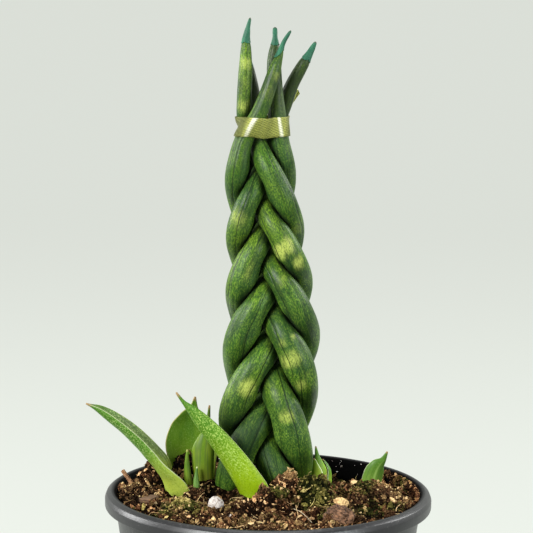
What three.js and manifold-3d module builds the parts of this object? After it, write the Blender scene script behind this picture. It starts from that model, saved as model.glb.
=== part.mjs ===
// Braided cylindrical snake plant in its nursery pot.
// Five round leaves rise from the potting mix in a flat five-strand braid, a satin ribbon ties
// them near the top, and their free tips are dipped in wax. Young pups and buds stand round the braid.
// Millimetres, +Z up, origin at the centre of the pot's underside. -Y is the front.
import * as THREE from 'three';
import { mergeVertices } from 'three/addons/utils/BufferGeometryUtils.js';
import Module from 'manifold-3d';

// ---- Driving dimensions ---------------------------------------------------------------------
const GAP = 0.3; // clearance between pieces that touch

const POT = { height: 145, rimRadius: 80, wallTopRadius: 73.1, floorRadius: 54.8, floor: 1.8, segments: 44 };
const DRAIN = { count: 8, radius: 3.5, circle: 43 };
const RIM = POT.height; // heights of the plant are given from the rim

const MIX = { edge: -4.5, segments: 44, rings: 12 };
// Soft rises and dips of the mix: x, y, spread and height.
MIX.mounds = [
  [-2, 2, 26, 5.5], [48, 46, 28, -9], [-31, 0, 6, 5], [-62, -6, 14, 5.2], [-43, -48, 15, 2.6],
  [-45, -8.5, 5.8, -4], [-26.2, -16, 5, -4.5], [49, 1, 10.5, 10], [34.5, -29, 5, 3], [18, -42, 7, -3],
  [64, -6, 7, 1.2],
];
// Steep clods that stand on them.
MIX.crags = [
  [-54, 16.5, 8, 9], [-42, 8.5, 5.2, 15], [8.5, -12, 5.5, 9.8], [20, -12.5, 7, 10],
  [-0.5, -28, 4.6, 9], [-12.5, -33, 4.6, 4], [-36.5, -15.5, 4.2, 4.6], [-40, -35, 6, 3.5],
];

const BRAID = {
  strands: 5,
  foot: -22.5, // buried end of every leaf
  top: 162, // where the even braid ends, below the ribbon
  axisY: 6,
  turn: THREE.MathUtils.degToRad(-5), // the flat braid's turn about the vertical
  squareness: 0.12, // third harmonic of the depth wave
  pressGap: 1.4, // gap kept where leaves press on each other
};
// Heights at which one leaf after another reaches the right-hand edge of the braid.
const EDGE_HEIGHTS = [-25.5, 14.1, 48.5, 80.2, 106.8, 132.8, 160.5, 189.5];
const EDGE_TURNS = [-1.2, 0, 1, 2, 3, 4, 5, 6];
const BRAID_AXIS_X = [[-30, -2.5], [5, -2.4], [32, -1.2], [68, 1.2], [95, 0.2], [122, -2.4], [150, -5]];
const HALF_WIDTH = [
  [-30, 15], [0, 16.4], [45, 16.9], [60, 17.2], [75, 16.6], [102, 14.7], [128, 13.4], [156, 12],
];
const HALF_DEPTH = [[-30, 11.6], [0, 12], [45, 12], [75, 11.4], [102, 10.6], [128, 9.8], [156, 8.6]];

// One braided leaf: its place in the braid, its radius low and high, the height of the dip line,
// and its free end as [x, y, height above the rim, radius].
const LEAVES = [
  { name: 'braid_leaf_1', phase: 4, low: 7.4, high: 5.9, dip: 217.4, end: [
    [-8.1, 7.5, 172.1, 4.6], [-10.6, 6.5, 177, 4.1], [-13.6, 3.5, 182.9, 3.6], [-13.4, 2.5, 192.5, 3.5],
    [-13, 2, 202.1, 3.4], [-12.8, 2, 210.2, 2.9], [-12.8, 2, 217.8, 2.3], [-12, 2, 224, 1.5],
    [-10.8, 2, 229.4, 0.7]] },
  { name: 'braid_leaf_2', phase: 3, low: 7, high: 5.8, dip: 206, end: [
    [-6.7, 15, 171.6, 4.5], [-7.7, 14.5, 176.5, 4.2], [-8.5, 13.5, 182.4, 3.9], [-9.4, 12.5, 192.1, 3.6],
    [-10.1, 12, 197, 3.3], [-11.5, 11.5, 205.2, 2.6], [-12.2, 11, 210.9, 1.8], [-12.7, 11, 215.4, 0.8]] },
  { name: 'braid_leaf_3', phase: 0, low: 7.7, high: 5.8, dip: 216.5, end: [
    [3.5, 5, 172.4, 4.7], [3.1, 5, 177.2, 4.6], [2.4, 5, 183, 4.5], [1.5, 5.5, 192.6, 4],
    [1, 6, 199.7, 3.7], [0.7, 6.5, 209.3, 3.3], [1.1, 7, 217.4, 2.1], [1, 7, 225, 0.8]] },
  { name: 'braid_leaf_4', phase: 2, low: 7.4, high: 5.4, dip: 212.2, end: [
    [-12.7, 0.5, 172.6, 4.6], [-9.7, -1.5, 178, 4.3], [-6.6, -2, 183.3, 4], [-3.6, -2, 190.5, 3.7],
    [-1.3, -1.5, 197.1, 3.4], [0.8, -1, 203.8, 3.1], [2.8, -0.5, 210.9, 2.2], [4.9, -0.5, 217.1, 1.4],
    [8.6, -0.5, 223.6, 0.7]] },
  { name: 'braid_leaf_5', phase: 1, low: 7.2, high: 5.5, dip: 209.5, end: [
    [-0.4, 14.5, 171.7, 4.5], [1.8, 14, 176.6, 4.3], [3.9, 13, 182.6, 4], [6.9, 12, 190.4, 3.7],
    [9.2, 11.5, 196.7, 3.3], [13, 11, 204, 3], [17.1, 10.5, 211.2, 2.3], [20.8, 10.5, 218.2, 0.7]] },
];
const LEAF_SIDES = 12;
const RING_STEP = 5.6; // height between the rings of a braided leaf
const WAX = { wall: 0.4, stand: 0.15 }; // thickness of the dipped coat and how far it stands proud

const RIBBON = { bottom: 172.8, top: 182.4, thickness: 0.5, clearance: 0.6, sides: 36 };
RIBBON.knot = { at: [1.5, 21.6, 177.6], size: [5.5, 3.2, 5] };
RIBBON.tails = [
  [[1.5, 22.6, 178, 3.4], [5.8, 21.5, 186, 2.8], [12.7, 19, 194.4, 1.9]],
  [[1, 23, 177, 4.2], [-4, 24.5, 166, 4.2], [-6.5, 24, 152, 4.2], [-8.5, 24.6, 141, 4]],
];

// Cupped leaves: stations run from the foot to the tip. Each holds the midrib's place, the half
// width along the surface, the half angle of the cup in degrees, and the thickness.
// `face` is the way the hollow side looks, and `footFace` the way it looks at a twisted foot.
const CUPPED = [
  { name: 'left_pup_leaf', colour: 0x7fa62e, face: [0.65, -0.08, 0.76], footFace: [0.5, 0.65, 0.6],
    stations: [
    [-45.5, -2.5, -10, 9.6, 62, 3.2], [-47.2, -2.8, -2.4, 10.4, 62, 3.3],
    [-51.1, -3, 6, 10.7, 68, 3.1], [-58.1, -3.3, 15.6, 9.6, 74, 2.8], [-67.9, -4, 26.2, 8.4, 78, 2.5], [-78, -5, 35.3, 6, 80, 2.2],
    [-83.5, -5.4, 39.8, 3.3, 80, 1.8], [-86.6, -5.6, 41.7, 1.3, 60, 1.3],
    [-89, -5.6, 42.8, 0.5, 30, 0.8]] },
  { name: 'front_pup_leaf', colour: 0x86b02c, face: [0.35, 0.8, 0.45], stations: [
    [-5, -17.6, -10, 8, 50, 3], [-8, -18, 1, 9.8, 52, 3.1], [-12.2, -18.6, 8.4, 9.4, 54, 3],
    [-20, -17.6, 19.9, 8.2, 56, 2.7], [-28, -16.4, 30.1, 6.7, 58, 2.4],
    [-33.4, -15.4, 36.3, 5.4, 58, 2.2], [-38.1, -14.4, 42.1, 3, 55, 1.8],
    [-41.5, -13.7, 45.9, 1.1, 45, 1.3], [-44.8, -13, 50.3, 0.5, 30, 0.8]] },
  { name: 'broad_pup_leaf', colour: 0x5f9a1f, face: [0.2, -0.95, 0.15], stations: [
    [-34.5, 14.5, -10, 6, 50, 2.6], [-35.9, 15, 3.4, 10, 42, 2.6], [-38, 16, 11.4, 13.4, 38, 2.4],
    [-39.1, 17, 19.3, 14.4, 38, 2.2], [-39.1, 17.3, 27.2, 12, 38, 2],
    [-38.4, 17, 33.2, 6.6, 38, 1.8], [-37.4, 16.6, 37.4, 2, 38, 1.5],
    [-36.8, 16.2, 42.3, 0.5, 30, 0.8]] },
  { name: 'yellow_pup_leaf', colour: 0x8d9a1e, face: [-0.1, 0.95, 0.25], stations: [
    [-31.8, 2, -10, 4.4, 50, 2.4], [-31.6, 0.5, 2.7, 4.8, 50, 2.4], [-32, 0, 9.6, 5.8, 52, 2.2],
    [-32, 0.5, 17.5, 6.2, 52, 2], [-31.3, 1.1, 23.5, 4.4, 52, 1.8], [-30.5, 1.7, 28.5, 2, 50, 1.5],
    [-29.7, 2.1, 33.6, 1.1, 40, 1.2], [-29.2, 2.5, 40.9, 0.4, 30, 0.7]] },
  { name: 'centre_bud_front_scale', colour: 0x9cbc2a, face: [0.5, 0.86, 0.05], stations: [
    [23.9, 12.4, -8, 4, 66, 1.4], [23.8, 12, -1, 4.2, 66, 1.4], [23.6, 12.2, 4.5, 3.7, 66, 1.3],
    [23, 12.7, 9, 1.9, 52, 1.1], [22.6, 13.3, 12.2, 0.5, 30, 0.7]] },
  { name: 'centre_bud_back_scale', colour: 0x7fae2c, face: [-0.92, -0.38, 0.05], stations: [
    [30.2, 18.9, -8, 4.6, 70, 1.4], [30.8, 19, -1, 5.6, 74, 1.4], [30.6, 18.7, 4.5, 5, 72, 1.2],
    [28.8, 18.2, 8.6, 2.6, 55, 1], [27, 17.6, 10.8, 0.5, 30, 0.7]] },
  { name: 'right_bud_scale', colour: 0x6ea32a, face: [-0.15, 0.95, 0.2], stations: [
    [51.2, 13.1, -9, 5, 50, 1.6], [52, 12.5, 1, 5.8, 50, 1.6], [53.2, 12, 5.8, 5.5, 50, 1.5],
    [54.6, 11.8, 9, 4.3, 50, 1.3], [57, 12, 12, 1.9, 46, 1.1], [59, 12.4, 16.3, 0.4, 30, 0.7]] },
];
// Round spears: stations of [x, y, height above the rim, radius].
const SPEARS = [
  { name: 'left_pup_spear', colour: 0x8aa732, stations: [
    [-38.7, -0.4, -10, 2], [-39, -0.6, 0, 2.1], [-39.8, -0.9, 8, 1.7], [-40, -1, 14, 1.1],
    [-39.9, -1, 19.4, 0.4]] },
  { name: 'small_pup_spear', colour: 0x6f9a3c, stations: [
    [-34.6, -6, -9, 1.7], [-34.9, -5.8, 0, 1.7], [-35.3, -5, 5, 1.4], [-35.2, -4.4, 8.2, 0.9],
    [-34.9, -4, 11.6, 0.4]] },
  { name: 'centre_bud_heart', colour: 0x8fb52c, stations: [
    [26.2, 16.6, -8, 3], [26.4, 16.4, -2, 3.4], [26.2, 16.2, 4, 3.3], [25, 16, 9, 2.3],
    [24.2, 16, 12.5, 1.3], [23.4, 16, 17.8, 0.4]] },
  { name: 'right_bud_heart', colour: 0x6fa433, stations: [
    [52.4, 18.1, -9, 2.6], [52.6, 17.9, -2, 2.8], [53.4, 17.3, 3, 2.4], [54, 16.6, 6.6, 1.4],
    [54.6, 16, 9, 0.7], [55.2, 15.6, 10.6, 0.3]] },
];

// Coarse pieces of the mix: place on the surface, half sizes, turn about the vertical, lean
// before it, and the height of the middle above the mix as a share of the half height.
const LUMPS = [
  { name: 'perlite_ball', detail: 1, at: [-24.9, -29.5], size: [3.8, 3.6, 4.2], turn: 0, lift: 0.3,
    colour: 0xe6ddd2 },
  { name: 'perlite_grain', at: [-17.1, -45], size: [1.2, 1, 1], turn: 40, lift: 1, colour: 0xe2dcd4 },
  { name: 'bark_chip_tan', at: [34.4, -30], size: [3.7, 2.6, 2.8], turn: 12, lift: 0.5,
    colour: 0xb08a54 },
  { name: 'bark_chip_red', detail: 1, at: [33.5, -44], size: [6.6, 5.4, 5.4], turn: -25, lift: 0.35,
    colour: 0x7c4a34 },
  { name: 'bark_chip_left', at: [-57, -22], size: [4.6, 2.6, 1.5], turn: 60, colour: 0x6a4a34 },
  { name: 'bark_chip_back', at: [6, 58], size: [5, 3.2, 1.6], turn: 10, colour: 0x74543a },
  { name: 'wood_sliver', at: [14.1, -25.5], size: [0.7, 0.9, 2.8], turn: -15, lift: 0.7,
    colour: 0xc59b62 },
  { name: 'peat_clod_front', detail: 1, at: [4.5, -26], size: [5.2, 4.2, 2.8], turn: 15, colour: 0x6b5236 },
  { name: 'peat_clod_right', detail: 1, at: [27.5, -5], size: [5.6, 4.2, 3], turn: -20, colour: 0x5b4a30 },
  { name: 'peat_clod_left', detail: 1, at: [-56, 14], size: [5.2, 4.4, 3], turn: 30, colour: 0x54402c },
  { name: 'orange_stick', at: [-69.3, 10.4], size: [1, 1.1, 5.3], turn: -8, lean: -36, lift: 0.6,
    colour: 0xa8683c },
];

const RHIZOME = { top: -23.1, radius: 22, depth: 13, arm: 4.2 };
RHIZOME.arms = [ // from the crown to the foot of each pup
  [[-16, 4, -30], [-32, 2, -28], [-44.6, -1, -20], [-45.5, -1.6, -11]],
  [[-14, 7, -30], [-26, 8, -27], [-33.6, 9.4, -18], [-34, 10.5, -11]],
  [[-4, -6, -30], [-4.6, -14, -25], [-4.6, -15.4, -17], [-4.7, -15.6, -10.9]],
  [[12, 9, -30], [23, 14, -26], [26.6, 15.6, -17], [26.6, 15.6, -9]],
  [[14, 7, -31], [34, 11, -30], [50, 14, -21], [51.4, 14.6, -9.9]],
];
const ROOTS = { count: 5, radius: 1.6, circle: 15, spread: 20, drop: 62 };

// ---- Interpolation --------------------------------------------------------------------------
/** Shape-preserving cubic through (xs, ys): no overshoot between stations, straight outside them. */
function smoothThrough(xs, ys) {
  const last = xs.length - 1;
  const secant = xs.slice(1).map((x, i) => (ys[i + 1] - ys[i]) / (x - xs[i]));
  const slope = xs.map((_, i) => {
    if (i === 0) return secant[0];
    if (i === last) return secant[last - 1];
    const [before, after] = [secant[i - 1], secant[i]];
    if (before * after <= 0) return 0;
    const [left, right] = [xs[i] - xs[i - 1], xs[i + 1] - xs[i]];
    const [w1, w2] = [2 * right + left, right + 2 * left];
    return (w1 + w2) / (w1 / before + w2 / after);
  });
  return (x) => {
    if (x <= xs[0]) return ys[0] + slope[0] * (x - xs[0]);
    if (x >= xs[last]) return ys[last] + slope[last] * (x - xs[last]);
    const i = xs.findIndex((right) => right > x) - 1;
    const h = xs[i + 1] - xs[i];
    const t = (x - xs[i]) / h;
    const keep = (1 + 2 * t) * (1 - t) ** 2;
    return ys[i] * keep + ys[i + 1] * (1 - keep)
      + h * t * (1 - t) * (slope[i] * (1 - t) - slope[i + 1] * t);
  };
}

const throughPairs = (pairs) => smoothThrough(pairs.map((p) => p[0]), pairs.map((p) => p[1]));

/** Interpolates every column of a station table over its running length. */
function throughStations(stations) {
  const along = [0];
  for (let i = 1; i < stations.length; i += 1) {
    const step = Math.hypot(...[0, 1, 2].map((k) => stations[i][k] - stations[i - 1][k]));
    along.push(along[i - 1] + step);
  }
  const columns = stations[0].map((_, k) => smoothThrough(along, stations.map((row) => row[k])));
  return { length: along.at(-1), at: (s) => columns.map((column) => column(s)) };
}

// ---- Solids ---------------------------------------------------------------------------------
const wasm = await Module();
wasm.setup();

/** Signed volume of a triangle mesh, positive when its faces point out. */
function signedVolume(points, triangles) {
  let sum = 0;
  for (let i = 0; i < triangles.length; i += 3) {
    const [a, b, c] = [points[triangles[i]], points[triangles[i + 1]], points[triangles[i + 2]]];
    sum += a.dot(b.clone().cross(c)) / 6;
  }
  return sum;
}

function geometryFrom(points, triangles) {
  if (signedVolume(points, triangles) < 0) triangles.reverse();
  const geometry = new THREE.BufferGeometry().setFromPoints(points);
  geometry.setIndex(triangles);
  return geometry;
}

/** Skin over rings of points: every ring has the same number of points, in the same order. */
class Skin {
  constructor(rings) {
    this.size = rings[0].length;
    this.points = rings.flat();
    this.triangles = [];
  }

  /** Quads between two rings. */
  band(from, to) {
    const [low, high] = [from * this.size, to * this.size];
    for (let k = 0; k < this.size; k += 1) {
      const next = (k + 1) % this.size;
      this.triangles.push(low + k, low + next, high + next, low + k, high + next, high + k);
    }
  }

  /** Closes a round ring about its middle; the first ring of a solid is closed with `first`. */
  fan(ring, first) {
    const start = ring * this.size;
    const middle = this.points.length;
    const sum = new THREE.Vector3();
    for (let k = 0; k < this.size; k += 1) sum.add(this.points[start + k]);
    this.points.push(sum.divideScalar(this.size));
    for (let k = 0; k < this.size; k += 1) {
      const [a, b] = [start + k, start + ((k + 1) % this.size)];
      this.triangles.push(...(first ? [b, a, middle] : [a, b, middle]));
    }
  }

  /** Closes a cupped ring, whose second half runs back along its first, with quads. */
  lid(ring, first) {
    const start = ring * this.size;
    for (let k = 0; k < this.size / 2 - 1; k += 1) {
      const [a, b, c, d] = [k, k + 1, this.size - 2 - k, this.size - 1 - k].map((i) => start + i);
      this.triangles.push(...(first ? [b, a, d, b, d, c] : [a, b, d, d, b, c]));
    }
  }

  geometry() {
    return geometryFrom(this.points, this.triangles);
  }
}

/** Closed solid through rings; a cupped section is closed by lids, and an endless one by itself. */
function loft(rings, { cupped = false, endless = false } = {}) {
  const skin = new Skin(rings);
  const last = rings.length - 1;
  for (let ring = 0; ring < last; ring += 1) skin.band(ring, ring + 1);
  if (endless) {
    skin.band(last, 0);
  } else if (cupped) {
    skin.lid(0, true);
    skin.lid(last, false);
  } else {
    skin.fan(0, true);
    skin.fan(last, false);
  }
  return skin.geometry();
}

/** Cup-shaped solid: rings up the outside to the tip, then down the inside to the mouth. */
function cup(outside, inside) {
  const skin = new Skin([...outside, ...inside]);
  const [tip, pit, mouth] = [outside.length - 1, outside.length, outside.length + inside.length - 1];
  for (let ring = 0; ring < tip; ring += 1) skin.band(ring, ring + 1);
  skin.fan(tip, false);
  for (let ring = pit; ring < mouth; ring += 1) skin.band(ring, ring + 1);
  skin.fan(pit, true);
  skin.band(mouth, 0);
  return skin.geometry();
}

function toSolid(geometry) {
  const bare = geometry.clone();
  bare.deleteAttribute('normal');
  bare.deleteAttribute('uv');
  const merged = mergeVertices(bare, 1e-4);
  const mesh = new wasm.Mesh({
    numProp: 3,
    vertProperties: new Float32Array(merged.attributes.position.array),
    triVerts: new Uint32Array(merged.index.array),
  });
  return new wasm.Manifold(mesh);
}

function toGeometry(solid) {
  const mesh = solid.getMesh();
  const geometry = new THREE.BufferGeometry();
  const positions = new Float32Array(mesh.vertProperties);
  geometry.setAttribute('position', new THREE.BufferAttribute(positions, 3));
  geometry.setIndex(Array.from(mesh.triVerts));
  return geometry;
}

/** The largest body of a solid, without the loose crumbs that a cut can leave. */
function largestBody(solid) {
  return solid.decompose().sort((a, b) => b.volume() - a.volume())[0];
}

const joined = (solids) => solids.reduce((sum, next) => sum.add(next));

/** Solid of revolution about Z from [radius, height] points. */
function turned(profile, segments) {
  const geometry = new THREE.LatheGeometry(profile.map(([r, z]) => new THREE.Vector2(r, z)), segments);
  geometry.rotateX(Math.PI / 2);
  geometry.deleteAttribute('normal');
  geometry.deleteAttribute('uv');
  const merged = mergeVertices(geometry, 1e-4);
  const { position } = merged.attributes;
  const vertex = (_, i) => new THREE.Vector3().fromBufferAttribute(position, i);
  const points = Array.from({ length: position.count }, vertex);
  const triangles = [];
  for (let i = 0; i < merged.index.count; i += 3) {
    const corner = [0, 1, 2].map((k) => merged.index.getX(i + k));
    if (new Set(corner).size === 3) triangles.push(...corner);
  }
  return geometryFrom(points, triangles);
}

/** Round rod along stations of [x, y, height above the rim, radius], `grow` mm fatter and longer. */
function rod(stations, sides, step, grow = 0) {
  const path = throughStations(stations);
  const count = Math.max(3, Math.ceil(path.length / step));
  const rings = [];
  for (let i = 0; i <= count; i += 1) {
    const s = (i / count) * (path.length + 2 * grow) - grow;
    const [x, y, z, radius] = path.at(s);
    const ahead = path.at(s + 0.2);
    const along = new THREE.Vector3(ahead[0] - x, ahead[1] - y, ahead[2] - z).normalize();
    const centre = new THREE.Vector3(x, y, RIM + z);
    rings.push(roundRing(centre, along, Math.max(radius, 0.2) + grow, sides));
  }
  return loft(rings);
}

function sectionAxes(along, across = new THREE.Vector3(1, 0, 0)) {
  const u = across.clone().addScaledVector(along, -along.dot(across)).normalize();
  return [u, along.clone().cross(u)];
}

function roundRing(centre, along, radius, sides) {
  const [u, v] = sectionAxes(along);
  return Array.from({ length: sides }, (_, k) => {
    const angle = (2 * Math.PI * k) / sides;
    return centre.clone()
      .addScaledVector(u, radius * Math.cos(angle))
      .addScaledVector(v, radius * Math.sin(angle));
  });
}

// ---- Pot and mix ----------------------------------------------------------------------------
/** Inner radius of the pot's wall at a height above its underside. */
const wallRadius = (z) => POT.floorRadius + ((POT.wallTopRadius - POT.floorRadius) * (z - 5)) / 131.5;

function pot() {
  const { height: h, rimRadius: rim, wallTopRadius: wall, floorRadius: foot, floor } = POT;
  const profile = [
    [0, 0], [foot - 2.8, 0], [foot + 0.2, 1.2], [foot + 1.4, 4], // underside and its rounded edge
    [wall + 1.5, h - 8.5], [wall + 1.7, h - 3], [wall + 3.4, h - 1.6], [rim - 1.5, h - 3], // wall, lip
    [rim - 1.2, h - 7.2], [rim - 0.5, h - 7.7], [rim - 0.05, h - 7.2], [rim, h - 3.4], // hanging skirt
    [rim - 0.9, h - 1.2], [rim - 2.6, h], [wall + 3, h], [wall + 1.9, h - 0.6], // rolled crest
    [wall + 1, h - 1.8], [wall, h - 8.5], [foot, 5], [foot - 2.3, floor], [0, floor], // inside
  ];
  let body = toSolid(turned(profile, POT.segments));
  for (let i = 0; i < DRAIN.count; i += 1) {
    const angle = (2 * Math.PI * (i + 0.5)) / DRAIN.count;
    const drill = new THREE.CylinderGeometry(DRAIN.radius, DRAIN.radius, 6, 12).rotateX(Math.PI / 2);
    drill.translate(DRAIN.circle * Math.cos(angle), DRAIN.circle * Math.sin(angle), 0);
    body = body.subtract(toSolid(drill));
  }
  return toGeometry(body);
}

/** Height of the mix above the rim: heaped at the braid, sunk behind on the right. */
function mixHeight(x, y) {
  const share = ([cx, cy, spread], power) => {
    const off = ((x - cx) ** 2 + (y - cy) ** 2) / (2 * spread ** 2);
    return Math.exp(-(off ** power));
  };
  const soft = MIX.mounds.reduce((sum, mound) => sum + mound[3] * share(mound, 1), 0);
  return MIX.edge + soft + Math.max(...MIX.crags.map((crag) => crag[3] * share(crag, 1.8)));
}

function mixBlock() {
  const clear = 0.6;
  const ring = (radius, height) => Array.from({ length: MIX.segments }, (_, k) => {
    const angle = (2 * Math.PI * k) / MIX.segments;
    const [x, y] = [radius * Math.cos(angle), radius * Math.sin(angle)];
    return new THREE.Vector3(x, y, height(x, y));
  });
  const flat = (z) => () => z;
  const top = (x, y) => RIM + mixHeight(x, y);
  const edge = wallRadius(RIM - 14) - clear;
  const rings = [
    ring(POT.floorRadius - 4, flat(POT.floor + GAP)),
    ring(wallRadius(6) - clear, flat(6)),
    ring(wallRadius(70) - clear, flat(70)),
    ring(edge, (x, y) => Math.min(RIM - 14, top(x, y) - 0.5)),
    ring(edge + 0.4, top),
    ...Array.from({ length: MIX.rings }, (_, k) => ring(edge * (1 - (k + 1) / (MIX.rings + 1)), top)),
  ];
  return loft(rings);
}

// ---- Braided leaves -------------------------------------------------------------------------
const edgeTurns = smoothThrough(EDGE_HEIGHTS, EDGE_TURNS);
const [braidX, halfWidth, halfDepth] = [BRAID_AXIS_X, HALF_WIDTH, HALF_DEPTH].map(throughPairs);

/** Centre of a strand in the even part of the braid. */
function strandCentre(phase, z) {
  const angle = Math.PI / 2 + (2 * Math.PI * (edgeTurns(z) - phase)) / BRAID.strands;
  const side = halfWidth(z) * Math.sin(angle);
  const depth = halfDepth(z) * (Math.sin(2 * angle) + BRAID.squareness * Math.sin(6 * angle));
  const [c, s] = [Math.cos(BRAID.turn), Math.sin(BRAID.turn)];
  return [braidX(z) + side * c - depth * s, BRAID.axisY + side * s + depth * c];
}

/** A leaf's centre line and radius as functions of the height above the rim. */
function leafPath(leaf) {
  const swell = throughPairs([[-30, 0.95], [20, 1], [60, 0.98], [100, 0.5 + (0.5 * leaf.high) / leaf.low],
    [125, leaf.high / leaf.low], [162, (0.93 * leaf.high) / leaf.low]]);
  const rows = [];
  for (let z = BRAID.foot - 4; z < BRAID.top; z += 3) {
    rows.push([...strandCentre(leaf.phase, z), z, leaf.low * swell(z)]);
  }
  rows.push(...leaf.end);
  const heights = rows.map((row) => row[2]);
  const [x, y, radius] = [0, 1, 3].map((k) => smoothThrough(heights, rows.map((row) => row[k])));
  return { top: heights.at(-1), at: (z) => new THREE.Vector3(x(z), y(z), RIM + z), radius };
}

const paths = LEAVES.map(leafPath);
const spine = paths.map((path) => {
  const samples = [];
  for (let z = BRAID.foot; z <= path.top; z += 1.2) {
    samples.push({ centre: path.at(z), radius: path.radius(z) });
  }
  return samples;
});

/** Distance from a point to a leaf's round surface, negative inside. */
function depthIn(samples, point) {
  return samples.reduce((least, s) => Math.min(least, point.distanceTo(s.centre) - s.radius), Infinity);
}

/** How far a leaf's skin may stand out along a ray before it meets the leaf pressed against it. */
function pressedReach(index, centre, ray, radius) {
  const others = spine.filter((samples, k) => k !== index
    && samples.some((s) => s.centre.distanceTo(centre) < s.radius + radius + 4));
  const room = (reach) => {
    const point = centre.clone().addScaledVector(ray, reach);
    const own = depthIn(spine[index], point);
    return Math.min(...others.map((samples) => depthIn(samples, point)), Infinity) - own - BRAID.pressGap;
  };
  if (others.length === 0 || room(radius) >= 0) return radius;
  let [low, high] = [0, radius];
  for (let i = 0; i < 9; i += 1) {
    const middle = (low + high) / 2;
    if (room(middle) >= 0) low = middle;
    else high = middle;
  }
  return low;
}

/** Way a leaf runs at a height; its foot is cut level. */
function heading(path, z) {
  const slope = path.at(z + 0.3).sub(path.at(z - 0.3)).normalize();
  const share = THREE.MathUtils.smoothstep(z, BRAID.foot, BRAID.foot + 14);
  return slope.lerp(new THREE.Vector3(0, 0, 1), 1 - share).normalize();
}

/** One ring of a leaf at a height, pressed flat where other leaves bear on it. */
function leafRing(index, z, grow = 0) {
  const path = paths[index];
  const centre = path.at(z);
  const radius = path.radius(z) + grow;
  return roundRing(centre, heading(path, z), radius, LEAF_SIDES).map((point) => {
    const ray = point.sub(centre).normalize();
    const reach = grow > 0 ? radius : pressedReach(index, centre, ray, radius);
    return centre.clone().addScaledVector(ray, reach);
  });
}

function ringHeights(from, to, step) {
  const count = Math.max(1, Math.round((to - from) / step));
  return Array.from({ length: count + 1 }, (_, i) => from + ((to - from) * i) / count);
}

/** Height at which a leaf has narrowed to a radius, searched down from its tip. */
function heightOfRadius(path, radius) {
  let z = path.top;
  while (path.radius(z) < radius) z -= 0.25;
  return z;
}

function braidedLeaf(index) {
  const leaf = LEAVES[index];
  const inset = WAX.wall - WAX.stand + GAP; // the leaf is slimmer inside its wax cap
  const rings = ringHeights(BRAID.foot, leaf.dip, RING_STEP).map((z) => leafRing(index, z));
  const end = heightOfRadius(paths[index], inset + 0.3);
  for (const z of ringHeights(leaf.dip + 0.05, end, 3)) rings.push(leafRing(index, z, -inset));
  return loft(rings);
}

function waxCap(index) {
  const leaf = LEAVES[index];
  const path = paths[index];
  const mouth = leaf.dip + GAP + 0.1;
  const floor = heightOfRadius(path, WAX.wall - WAX.stand + GAP + 0.3) + GAP;
  const outer = ringHeights(mouth, path.top, 2.6).map((z) => leafRing(index, z, WAX.stand));
  const socket = ringHeights(mouth, floor, 2.6).reverse()
    .map((z) => roundRing(path.at(z), heading(path, z),
      Math.max(path.radius(z) - WAX.wall + WAX.stand, 0.25), LEAF_SIDES));
  return cup(outer, socket);
}

// ---- Ribbon ---------------------------------------------------------------------------------
/** Taut outline round the bundle of leaves at a height, as points at equal angles. */
function bundleOutline(z, clearance) {
  const circles = [];
  for (const path of paths) {
    for (let near = z - 3; near <= z + 3; near += 0.75) {
      const centre = path.at(near);
      const radius = Math.sqrt(Math.max(0, (path.radius(near) + clearance) ** 2 - (near - z) ** 2));
      circles.push([centre.x, centre.y, radius]);
    }
  }
  const mean = (k) => circles.reduce((sum, circle) => sum + circle[k], 0) / circles.length;
  const middle = [mean(0), mean(1)];
  const support = (angle) => Math.max(...circles.map(([x, y, r]) => (x - middle[0]) * Math.cos(angle)
    + (y - middle[1]) * Math.sin(angle) + r));
  const reach = (angle) => {
    let least = Infinity;
    for (let lean = -1.2; lean <= 1.2; lean += 0.05) {
      least = Math.min(least, support(angle + lean) / Math.cos(lean));
    }
    return least;
  };
  return Array.from({ length: RIBBON.sides }, (_, k) => {
    const angle = (2 * Math.PI * k) / RIBBON.sides;
    const r = reach(angle);
    return { x: middle[0] + r * Math.cos(angle), y: middle[1] + r * Math.sin(angle), angle };
  });
}

function strip(stations, thickness) {
  const path = throughStations(stations);
  const count = Math.ceil(path.length / 5);
  const rings = ringHeights(0, path.length, path.length / count).map((s) => {
    const [x, y, z, half] = path.at(s);
    const ahead = path.at(s + 0.2);
    const along = new THREE.Vector3(ahead[0] - x, ahead[1] - y, ahead[2] - z).normalize();
    const [across, out] = sectionAxes(along);
    const centre = new THREE.Vector3(x, y, RIM + z);
    return [[-1, -1], [1, -1], [1, 1], [-1, 1]].map(([a, b]) => centre.clone()
      .addScaledVector(across, a * half).addScaledVector(out, (b * thickness) / 2));
  });
  return loft(rings);
}

function ribbon() {
  const { bottom, top, thickness, clearance, knot, tails } = RIBBON;
  const heights = ringHeights(bottom, top, (top - bottom) / 2);
  const outlines = heights.map((z) => bundleOutline(z, clearance));
  const rings = outlines[0].map((_, k) => {
    const side = (wall) => outlines.map((outline, i) => {
      const { x, y, angle } = outline[k];
      return new THREE.Vector3(x + wall * Math.cos(angle), y + wall * Math.sin(angle), RIM + heights[i]);
    });
    return [...side(thickness), ...side(0).reverse()];
  });
  const band = toSolid(loft(rings, { endless: true }));
  const lump = new THREE.SphereGeometry(1, 10, 6).scale(...knot.size)
    .translate(knot.at[0], knot.at[1], RIM + knot.at[2]);
  return toGeometry(joined([band, toSolid(lump), ...tails.map((tail) => toSolid(strip(tail, 0.9)))]));
}

// ---- Pups, buds and lumps -------------------------------------------------------------------
const CUP_STEPS = 4;

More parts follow.
